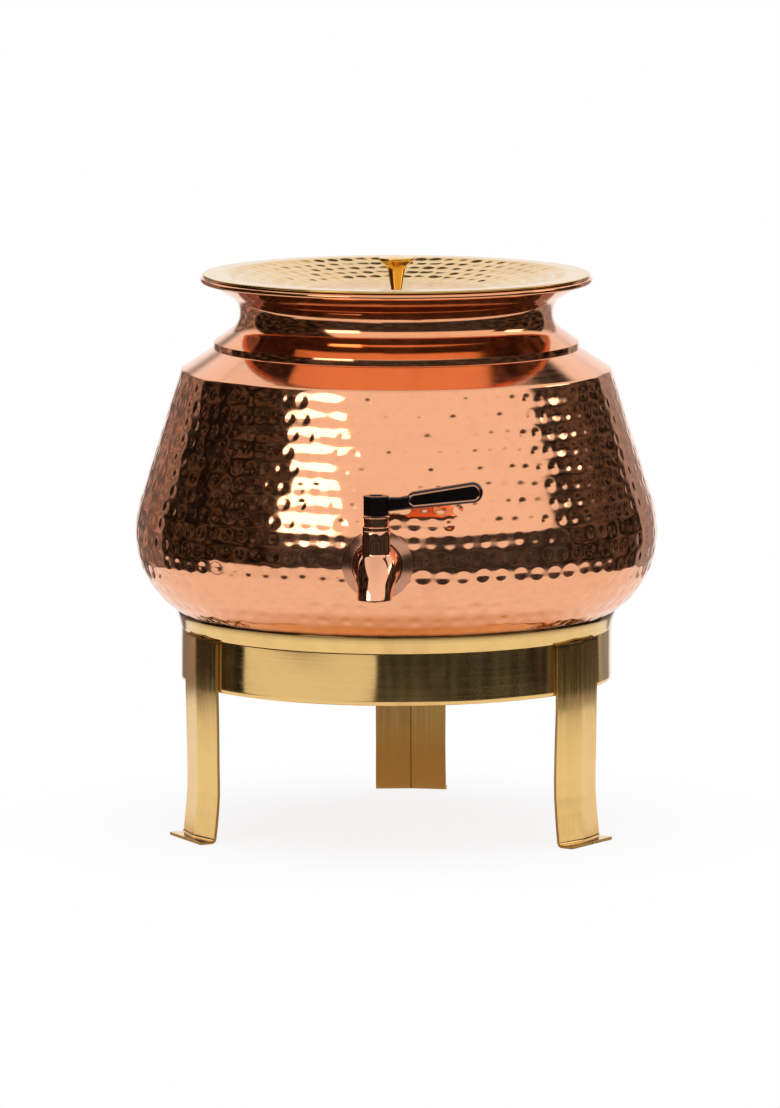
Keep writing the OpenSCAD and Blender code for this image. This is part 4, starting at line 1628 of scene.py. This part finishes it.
    def build_body(self) -> None:
        """Makes the cast body: rays from a point inside it, each ending where the distance is nil.

        The rays spread over a sphere whose poles point at the top of the boss and at the outlet. The bore of
        the spout is cut away.
        """
        bottom, top = self.heights("tap_body")
        outlet = np.array([0.0, self.spout_reach, bottom])
        boss_top = np.array([0.0, self.stem_reach, top])
        up = (boss_top - outlet) / np.linalg.norm(boss_top - outlet)
        centre = outlet + (boss_top - outlet) * self.cast_middle
        side = np.array([1.0, 0.0, 0.0])
        other = np.cross(up, side)
        polar = np.linspace(0.0, math.pi, self.cast_rows)[1:-1, None]
        angle = around(self.cast_columns)[None, :]
        rays = (
            np.cos(polar)[..., None] * up
            + (np.sin(polar) * np.cos(angle))[..., None] * side
            + (np.sin(polar) * np.sin(angle))[..., None] * other
        )
        near = np.zeros(rays.shape[:2])
        far = np.full(rays.shape[:2], self.cast_reach)
        for _ in range(self.cast_halvings):
            middle = (near + far) / 2.0
            inside = self.distance(centre + rays * middle[..., None]) < 0.0
            near = np.where(inside, middle, near)
            far = np.where(inside, far, middle)
        grid = centre + rays * near[..., None]
        placed = np.stack([grid[..., 0], self.wall_y - grid[..., 1], self.axis_z + grid[..., 2]], axis=-1)
        piece = add_surface(carried(placed), "tap_body_cast", COPPER_PLATE, "pot", "copper_plate", "tap_body")
        start = bottom - self.bore_below
        roof = bottom + self.spout_bore_l
        bore = np.array([
            (0.0, start),
            (self.spout_bore_r, start),
            (self.spout_bore_r, roof),
            (self.shank_bore_r, roof),
            (self.shank_bore_r, roof + self.bore_above),
            (0.0, roof + self.bore_above),
        ])
        outlet_axis = upright_at(self.wall_y - self.spout_reach, self.axis_z)
        cut_away(piece, turned_solid(bore, self.bore_segments, outlet_axis))

    def build_rosette(self) -> None:
        """Makes the cover ring: a turned cone with a rounded outer edge and a hollow for the barrel."""
        back, front = self.reaches("tap_rosette")
        outer_r = box_of("tap_rosette")[1][0]
        hole_r = self.shank_r + self.shank_gap
        bore_r = self.barrel_r + self.barrel_gap
        floor = back + self.rosette_floor
        path = [
            (hole_r, back, 0.0),
            (outer_r, back, self.rosette_back_round),
            (outer_r, back + self.rosette_edge, self.rosette_edge_round),
            (bore_r + self.rosette_lip, front, self.rosette_lip_round),
            (bore_r, front, self.rosette_bore_round),
            (bore_r, floor, 0.0),
            (hole_r, floor, 0.0),
        ]
        ring = turned(rounded(path, self.rosette_step), self.rosette_segments, self.along)
        add_surface(ring, "tap_rosette_cone", BRUSHED_PLATE, "pot", "copper_plate", "tap_rosette")

    def build_bonnet(self) -> None:
        """Makes the bonnet: a turned nut with a wider foot and a thin flange at its top."""
        foot, top = self.heights("tap_bonnet")
        _, seam = self.heights("tap_body")
        path = [(self.stem_r, foot, 0.0), (self.boss_r - self.bonnet_thread, foot, 0.0)]
        path += [(self.boss_r - inset, seam + rise, bend) for inset, rise, bend in self.bonnet_foot]
        path += [(self.boss_r - inset, top - drop, bend) for inset, drop, bend in self.bonnet_flange]
        path += [(self.stem_r, top, 0.0)]
        nut = turned(rounded(path, self.bonnet_step), self.bonnet_segments, self.stem)
        add_surface(nut, "tap_bonnet_turned", COPPER_PLATE, "pot", "copper_plate", "tap_bonnet")

    def build_shank(self) -> None:
        """Makes the shank: a tube whose outside is cut by a screw thread.

        The depth of the thread is a triangle wave of the height over the pitch plus the angle over a turn.
        """
        back, front = self.reaches("tap_shank")
        outer = filled(np.array([(self.shank_r, front), (self.shank_r, back)]), self.shank_step)
        section = np.vstack([outer, [(self.shank_bore_r, back), (self.shank_bore_r, front)]])
        radius, height = section[:, :1], section[:, 1:]
        angle = around(self.shank_segments)
        wave = np.abs(((height / self.thread_pitch + angle[None, :] / TURN) % 1.0) * 2.0 - 1.0)
        within = (height > back + self.thread_end) & (height < front - self.thread_end)
        sunk = self.thread_depth * wave * within * (radius > self.shank_bore_r)
        tube = turned(section, self.shank_segments, self.along, sunk)
        add_surface(
            tube, "tap_shank_threaded", CHROME, "pot", "chrome", "tap_shank", crease=self.shank_sharp
        )


@dataclass
class Lever:
    """Black lever: a hub, an arm and a long paddle, with a bright outline in front and a plate on the back.

    A layer of the plate is given as (distance inside its outline, height above the paddle's back).
    """

    hub_r: float = 5.75 * MM
    hub_h: float = 8.8 * MM
    hub_bore_r: float = 2.05 * MM
    hub_foot_round: float = 0.3 * MM
    hub_top_round: float = 0.5 * MM
    hub_step: float = math.radians(12.0)
    hub_segments: int = 96
    head_r: float = 3.05 * MM
    head_sink: float = 2.0 * MM
    head_round: float = 0.2 * MM
    reach: float = 47.6 * MM
    paddle_start: float = 13.6 * MM
    near_r: float = 3.75 * MM
    far_r: float = 4.6 * MM
    paddle_t: float = 5.0 * MM
    tilt: float = math.radians(7.8)
    arm_start: float = 3.6 * MM
    arm_rise: float = 4.7 * MM
    arm_low: float = 1.1 * MM
    arm_drop: float = 0.6 * MM
    arm_slope: float = 3.2 * MM
    arm_thinner: float = 0.5 * MM
    arm_widening: float = 2.0 * MM
    arm_sections: int = 90
    tip_sections: int = 24
    tip_end: float = 0.4995
    section_points: int = 72
    section_power: float = 2.0 / 7.0
    edge_circles: int = 400
    far_points: int = 31
    near_points: int = 29
    trim_inset: float = 1.0 * MM
    trim_w: float = 0.6 * MM
    trim_height: float = 0.22 * MM
    trim_sink: float = 0.12 * MM
    trim_points: int = 12
    trim_power: float = 0.6
    plate_layers: tuple[tuple[float, float], ...] = (
        (0.0, -0.5 * MM),
        (0.0, -0.1 * MM),
        (0.2 * MM, 0.05 * MM),
    )

    def __post_init__(self) -> None:
        """Finds the foot of the hub and the middles of the paddle's round ends in the frame."""
        low, high = box_of("tap_stem")
        self.foot = box_of("tap_lever")[0][2]
        self.stem_y = (low[1] + high[1]) / 2.0
        self.axis = upright_at(self.stem_y, self.foot)
        self.near_x = self.paddle_start + self.near_r
        self.far_x = self.reach - self.far_r
        self.near_z = self.arm_rise + self.near_x * math.tan(self.tilt)

    def build(self) -> None:
        """Makes the hub, the arm with its paddle and the trim, and dresses the stem's pieces."""
        self.build_hub()
        self.build_arm()
        self.build_outline()
        self.build_plate()
        dress(CHROME, "tap_stem", "tap_ball", "tap_lever_screw")

    def build_hub(self) -> None:
        """Makes the hub: a turned cup with a sunk seat for the screw's head."""
        path = [
            (self.hub_bore_r, 0.0, 0.0),
            (self.hub_r, 0.0, self.hub_foot_round),
            (self.hub_r, self.hub_h, self.hub_top_round),
            (self.head_r, self.hub_h, self.head_round),
            (self.head_r, self.hub_h - self.head_sink, 0.0),
            (self.hub_bore_r, self.hub_h - self.head_sink, 0.0),
        ]
        hub = turned(rounded(path, self.hub_step), self.hub_segments, self.axis)
        add_surface(hub, "lever_hub", LEVER_BLACK, "lever", "lever_plastic", "tap_lever")

    def edges(self, out: np.ndarray) -> tuple[np.ndarray, np.ndarray]:
        """Lower and upper edge of the arm and the paddle.

        The paddle's edges are those of many circles whose middles and radii run evenly from its near to its
        far end. The arm's edges are straight.

        Args:
            out: Distances from the stem.

        Returns:
            Heights of the lower and the upper edge above the foot of the hub.
        """
        share = np.linspace(0.0, 1.0, self.edge_circles)[:, None]
        middle_x = self.near_x + (self.far_x - self.near_x) * share
        middle_z = self.near_z + (middle_x - self.near_x) * math.tan(self.tilt)
        circle_r = self.near_r + (self.far_r - self.near_r) * share
        half_chord = np.sqrt(np.clip(circle_r**2 - (out - middle_x) ** 2, 0.0, None))
        covers = half_chord > 0.0
        paddle_high = np.where(covers, middle_z + half_chord, -1.0).max(axis=0)
        paddle_low = np.where(covers, middle_z - half_chord, 1.0).min(axis=0)
        level = self.hub_h - self.arm_drop
        near_low = self.near_z - self.near_r * math.cos(self.tilt)
        slope_x = [0.0, self.paddle_start - self.arm_slope, self.paddle_start, self.near_x]
        arm_high = np.interp(out, slope_x, [level, level, self.near_z + self.near_r / 2.0, self.near_z])
        arm_low = np.interp(out, [0.0, self.near_x], [self.arm_low, near_low])
        on_arm = out < self.near_x
        high = np.where(on_arm, np.maximum(arm_high, paddle_high), paddle_high)
        low = np.where(on_arm, np.minimum(arm_low, paddle_low), paddle_low)
        return low, high

    def build_arm(self) -> None:
        """Makes the arm and the paddle: rounded rectangles carried outwards from the hub.

        A section is a superellipse between the lower and the upper edge, and the arm is thinner.
        """
        tip = self.far_x + self.far_r * np.sin(np.linspace(0.0, self.tip_end, self.tip_sections) * math.pi)
        out = np.concatenate([np.linspace(self.arm_start, self.far_x, self.arm_sections)[:-1], tip])
        low, high = self.edges(out)
        widening = (self.paddle_start - self.arm_widening, self.paddle_start + self.arm_widening)
        half_t = self.paddle_t / 2.0 - self.arm_thinner * (1.0 - smooth_step(out, *widening))
        turn = around(self.section_points)
        shape_y = signed_power(np.cos(turn), self.section_power)
        shape_z = signed_power(np.sin(turn), self.section_power)
        sections = np.stack([
            np.repeat(out[:, None], len(turn), axis=1),
            self.stem_y + half_t[:, None] * shape_y,
            self.foot + (high + low)[:, None] / 2.0 + (high - low)[:, None] / 2.0 * shape_z,
        ], axis=-1)
        add_surface(carried(sections), "lever_paddle", LEVER_BLACK, "lever", "lever_plastic", "tap_lever")

    def oval(self, inset: float) -> np.ndarray:
        """Outline of the paddle seen from the front: an arc about each end, joined by the straight edges.

        Args:
            inset: Distance inside the paddle's edge.

        Returns:
            Points as (sideways, height above the foot of the hub), anticlockwise.
        """
        length = (self.far_x - self.near_x) / math.cos(self.tilt)
        taper = math.asin((self.far_r - self.near_r) / length)
        far = np.linspace(-math.pi / 2.0 - taper, math.pi / 2.0 + taper, self.far_points)
        near = np.linspace(math.pi / 2.0 + taper, 1.5 * math.pi - taper, self.near_points)
        far_r = self.far_r - inset
        near_r = self.near_r - inset
        along = np.concatenate([length + far_r * np.cos(far), near_r * np.cos(near)])
        aside = np.concatenate([far_r * np.sin(far), near_r * np.sin(near)])
        return np.column_stack([
            self.near_x + along * math.cos(self.tilt) - aside * math.sin(self.tilt),
            self.near_z + along * math.sin(self.tilt) + aside * math.cos(self.tilt),
        ])

    def at_depth(self, outline: np.ndarray, depth: np.ndarray | float) -> np.ndarray:
        """Points of an outline at distances behind the middle of the lever."""
        depth = np.broadcast_to(depth, outline.shape[:-1])
        return np.stack([outline[..., 0], self.stem_y + depth, self.foot + outline[..., 1]], axis=-1)

    def build_outline(self) -> None:
        """Makes the outline on the front: a small flat oval section carried along the paddle's outline."""
        turn = around(self.trim_points)
        wide = self.trim_w / 2.0 * signed_power(np.cos(turn), self.trim_power)
        deep = self.trim_height * np.sin(turn)
        line = self.oval(self.trim_inset + self.trim_w / 2.0)
        places = line[:, None, :] + loop_normals(line)[:, None, :] * wide[None, :, None]
        grid = self.at_depth(places, self.trim_sink - self.paddle_t / 2.0 + deep[None, :])
        quads = grid_quads(len(line), len(turn), wrap_rows=True)
        ring = Surface(grid.reshape(-1, 3), quads).turned_outwards()
        add_surface(ring, "lever_outline", COPPER_PLATE, "lever", "copper_plate", "tap_lever_trim")

    def build_plate(self) -> None:
        """Makes the plate on the back: the paddle's outline carried through it, with a narrow chamfer."""
        back = self.paddle_t / 2.0
        layers = [
            self.at_depth(self.oval(self.trim_inset + inset), back + rise)
            for inset, rise in self.plate_layers
        ]
        plate = carried(np.stack(layers))
        add_surface(plate, "lever_back_plate", COPPER_PLATE, "lever", "copper_plate", "tap_lever_trim")


# Studio


@dataclass(frozen=True)
class Patch:
    """Part of the tent between two bearings and two heights, in degrees.

    It has a lowest and a highest brightness, and the bright parts take the tint.
    """

    bearing: tuple[float, float]
    rise: tuple[float, float]
    soft: float
    low: float
    high: float
    tint: Colour = WHITE


@dataclass(frozen=True)
class Card:
    """Glowing white card on edge that shows only in reflections: its bearing in degrees, distance, lower and
    upper edge, width and brightness.

    A bearing is from the front, positive to the right. A brightness of one is white.
    """

    name: str
    turn: float
    distance: float
    rise: tuple[float, float]
    width: float
    level: float = 0.88


@dataclass(frozen=True)
class Lamp:
    """Soft lamp: its bearing in degrees, distance and height, the size of its face, and its brightness.

    A bearing is from the front, positive to the right. A brightness of one is white.
    """

    name: str
    turn: float
    distance: float
    height: float
    size: tuple[float, float]
    level: float


@dataclass
class Studio:
    """Round white table in a white tent with dark gaps, low glowing cards that show only in reflections,
    two soft lamps, and the camera.
    """

    table_r: float = 0.445
    table_z: float = -0.0002
    table_hole: float = 0.002
    table_grid: tuple[int, int] = (24, 180)
    paper: Colour = (0.90, 0.90, 0.90)
    paper_folds: float = 26.0
    shade_r: tuple[float, float] = (0.05, 0.20)
    shade: float = 0.15
    # Painted shade and copper bounce light on the floor near the pot, seen only in reflections: where it
    # fades out, and its colour.
    near_r: tuple[float, float] = (0.08, 0.18)
    painted_bounce_shade: Colour = (0.70, 0.50, 0.32)
    roof: Colour = (0.82, 0.82, 0.82)
    roof_rise: tuple[float, float] = (25.0, 80.0)
    cloud_scale: float = 11.0
    cloud_detail: float = 3.0
    cloud_range: tuple[float, float] = (0.42, 0.72)
    patches: tuple[Patch, ...] = (
        Patch((-181.0, -150.0), (34.0, 64.0), 2.0, 0.01, 0.15),
        Patch((150.0, 181.0), (34.0, 64.0), 2.0, 0.01, 0.15),
        Patch((-162.0, -123.0), (-30.0, 18.0), 4.0, 0.13, 0.58, (1.0, 0.66, 0.56)),
        Patch((143.0, 166.0), (-30.0, 18.0), 4.0, 0.28, 0.56, (1.0, 0.80, 0.72)),
        Patch((-123.0, 141.0), (-95.0, 0.0), 2.0, 0.03, 0.10),
        Patch((-123.0, 131.0), (-95.0, 14.5), 2.0, 0.03, 0.10),
        Patch((82.0, 143.0), (-95.0, 23.0), 2.0, 0.005, 0.16, (1.0, 0.80, 0.62)),
        Patch((-123.0, -50.0), (-95.0, 45.0), 1.5, 0.004, 0.13, (1.0, 0.74, 0.50)),
    )
    cards: tuple[Card, ...] = (
        Card("low_card", turn=-41.0, distance=0.36, rise=(0.016, 0.058), width=0.51),
        Card("left_card", turn=-96.0, distance=0.335, rise=(0.0, 0.018), width=0.26),
        Card("right_card", turn=92.0, distance=0.335, rise=(0.0, 0.018), width=0.26),
    )
    card_grid: tuple[int, int] = (6, 96)
    card_hole: float = 0.01
    card_power: float = 2.0 / 5.0
    lamps: tuple[Lamp, ...] = (
        Lamp("key_softbox", turn=-35.0, distance=0.95, height=0.49, size=(0.42, 0.23), level=3.0),
        Lamp("edge_softbox", turn=100.0, distance=0.80, height=0.54, size=(0.26, 0.12), level=2.6),
    )
    camera_distance: float = 3.811
    camera_turn: float = math.radians(3.944)
    camera_rise: float = math.radians(7.3145)
    camera_clip: tuple[float, float] = (0.1, 50.0)
    target_z: float = 0.13
    focal_px: float = 8276.0
    target_px: tuple[float, float] = (396.36, 544.49)
    image_px: tuple[float, float] = (780.0, 1108.0)
    sensor: float = 36.0

    def build(self) -> None:
        """Makes the camera, the surroundings, the table, the cards and the lamps."""
        bpy.context.scene.view_settings.view_transform = "Standard"
        self.build_camera()
        self.build_world()
        self.build_table()
        for card in self.cards:
            self.build_card(card)
        for lamp in self.lamps:
            self.build_lamp(lamp)

    def build_camera(self) -> None:
        """Makes the camera at the photograph's angle, with the small shift that its framing has."""
        data = bpy.data.cameras.new("camera")
        wide, tall = self.image_px
        data.sensor_width = self.sensor
        data.lens = self.focal_px / tall * self.sensor
        data.shift_x = (wide / 2.0 - self.target_px[0]) / tall
        data.shift_y = (self.target_px[1] - tall / 2.0) / tall
        data.clip_start, data.clip_end = self.camera_clip
        camera = put("camera", data)
        level = math.cos(self.camera_rise)
        beside = math.sin(self.camera_turn) * level
        ahead = math.cos(self.camera_turn) * level
        back = Vector((beside, -ahead, math.sin(self.camera_rise)))
        camera.location = Vector((0.0, 0.0, self.target_z)) + back * self.camera_distance
        camera.rotation_euler = back.to_track_quat("Z", "Y").to_euler()
        bpy.context.scene.camera = camera

    def build_world(self) -> None:
        """Makes the tent: white above and behind, dark low down in front, with a dark gap on each side.

        The direction of a ray gives its bearing from the front, positive to the right, and its height
        above the horizon. Each dark part is a window of both, and a noise makes its dark uneven.
        """
        world = bpy.data.worlds.new("tent")
        bpy.context.scene.world = world
        world.use_nodes = True
        graph = Graph(world.node_tree)
        direction = graph.add("ShaderNodeTexCoord").outputs["Generated"]
        right, away, up = graph.add("ShaderNodeSeparateXYZ", {0: direction}).outputs
        bearing = graph.math("ARCTAN2", right, graph.math("MULTIPLY", away, -1.0))
        bearing = graph.math("MULTIPLY", bearing, 360.0 / TURN)
        rise = graph.math("MULTIPLY", graph.math("ARCSINE", up), 360.0 / TURN)
        cloud = graph.noise(direction, Scale=self.cloud_scale, Detail=self.cloud_detail)
        uneven = graph.ramp(cloud, *self.cloud_range)
        shade = graph.blend(graph.ramp(rise, *self.roof_rise), WHITE, self.roof)
        for patch in self.patches:
            across = graph.window(bearing, *patch.bearing, patch.soft)
            mask = graph.math("MULTIPLY", across, graph.window(rise, *patch.rise, patch.soft))
            dim = graph.blend(uneven, (patch.low,) * 3, tuple(patch.high * part for part in patch.tint))
            shade = graph.blend(mask, shade, dim)
        tent = graph.add("ShaderNodeBackground", {"Color": shade}).outputs[0]
        plain = graph.add("ShaderNodeBackground", {"Color": (*WHITE, 1.0)}).outputs[0]
        direct = graph.add("ShaderNodeLightPath").outputs["Is Camera Ray"]
        graph.add("ShaderNodeOutputWorld", {"Surface": graph.mixed(direct, tent, plain)})

    def build_table(self) -> None:
        """Makes the table: a flat round grid that looks white, with a faint shade under the pot.

        In reflections the floor near the pot is painted darker with a copper tint, as painted shade and
        painted light thrown down from the metal above it, and its white is slightly uneven.
        """
        rows, columns = self.table_grid
        radius = np.linspace(self.table_hole, 1.0, rows)[:, None] * np.full(columns, self.table_r)
        grid = UPRIGHT.turn(radius, np.full(radius.shape, self.table_z))
        disc = Surface(grid.reshape(-1, 3), grid_quads(rows, columns)[:, ::-1])
        material, graph = new_material("table_white")
        place = graph.add("ShaderNodeTexCoord").outputs["Object"]
        away = graph.add("ShaderNodeVectorMath", {0: place}, operation="LENGTH").outputs["Value"]
        shadowed = graph.ramp(away, *self.shade_r, self.shade, 0.0)
        folds = graph.group(tool_lines(), Vector=graph.stretched((self.paper_folds,) * 3))
        paper = graph.blend(folds, self.paper, WHITE)
        # Painted shade and copper bounce light on the floor near the pot, for reflections only.
        mirrored = graph.blend(graph.ramp(away, *self.near_r), self.painted_bounce_shade, paper)
        path = graph.add("ShaderNodeLightPath")
        direct = path.outputs["Is Camera Ray"]
        seen = graph.math("MAXIMUM", direct, path.outputs["Is Glossy Ray"])
        white = graph.add("ShaderNodeBsdfDiffuse", {"Color": (*self.paper, 1.0)}).outputs[0]
        glow = graph.add("ShaderNodeEmission", {"Color": graph.blend(direct, mirrored, WHITE)}).outputs[0]
        share = graph.math("MULTIPLY", seen, graph.math("SUBTRACT", 1.0, shadowed))
        graph.add("ShaderNodeOutputMaterial", {"Surface": graph.mixed(share, white, glow)})
        self.stage_piece(disc, "table", material)

    def stage_piece(self, surface: Surface, name: str, material: bpy.types.Material) -> bpy.types.Object:
        """Puts a piece of the studio into the scene, outside the object.

        Args:
            surface: The surface.
            name: Name of the piece.
            material: Its material.

        Returns:
            The piece.
        """
        mesh = surface.mesh(name, PLAIN_EDGE)
        mesh.materials.append(material)
        piece = put(name, mesh)
        return piece

    def build_card(self, card: Card) -> None:
        """Makes a glowing white card with round corners that stands on edge and shows only in reflections on
        the metal.

        A point of the card is a share of a superellipse in the card's plane.

        Args:
            card: The card.
        """
        rows, columns = self.card_grid
        angle = around(columns)[None, :]
        share = np.linspace(self.card_hole, 1.0, rows)[:, None]
        low, high = card.rise
        beside = share * signed_power(np.cos(angle), self.card_power) * card.width / 2.0
        above = share * signed_power(np.sin(angle), self.card_power) * (high - low) / 2.0
        bearing = math.radians(card.turn)
        grid = np.stack([
            math.sin(bearing) * card.distance + math.cos(bearing) * beside,
            -math.cos(bearing) * card.distance + math.sin(bearing) * beside,
            above + (low + high) / 2.0,
        ], axis=-1)
        # The card glows but lights nothing and casts no shadow: a painted reflection in the metal.
        material, graph = new_material("card_glow")
        glow = graph.add("ShaderNodeEmission", {"Color": (*WHITE, 1.0), "Strength": card.level}).outputs[0]
        graph.add("ShaderNodeOutputMaterial", {"Surface": glow})
        piece = self.stage_piece(Surface(grid.reshape(-1, 3), grid_quads(rows, columns)), card.name, material)
        piece.visible_camera = False
        piece.visible_diffuse = False
        piece.visible_shadow = False

    def build_lamp(self, lamp: Lamp) -> None:
        """Makes a soft lamp that faces the pot.

        Args:
            lamp: The lamp.
        """
        data = bpy.data.lights.new(lamp.name, "AREA")
        data.shape = "RECTANGLE"
        data.size, data.size_y = lamp.size
        data.energy = lamp.level * math.pi * lamp.size[0] * lamp.size[1]
        light = put(lamp.name, data)
        angle = math.radians(lamp.turn)
        light.location = (math.sin(angle) * lamp.distance, -math.cos(angle) * lamp.distance, lamp.height)
        facing = Vector(light.location) - Vector((0.0, 0.0, lamp.height))
        light.rotation_euler = facing.to_track_quat("Z", "Y").to_euler()
        light.visible_camera = False


def main() -> None:
    """Builds the studio and every sub-assembly."""
    logging.basicConfig(level=logging.INFO, format="%(name)s %(message)s")
    builders: list[Callable[[], None]] = [
        Studio().build,
        Stand().build,
        PotBody().build,
        PotNeck().build,
        Lid().build,
        Tap().build,
        Lever().build,
    ]
    for build in builders:
        build()


if __name__ == "__main__":
    main()
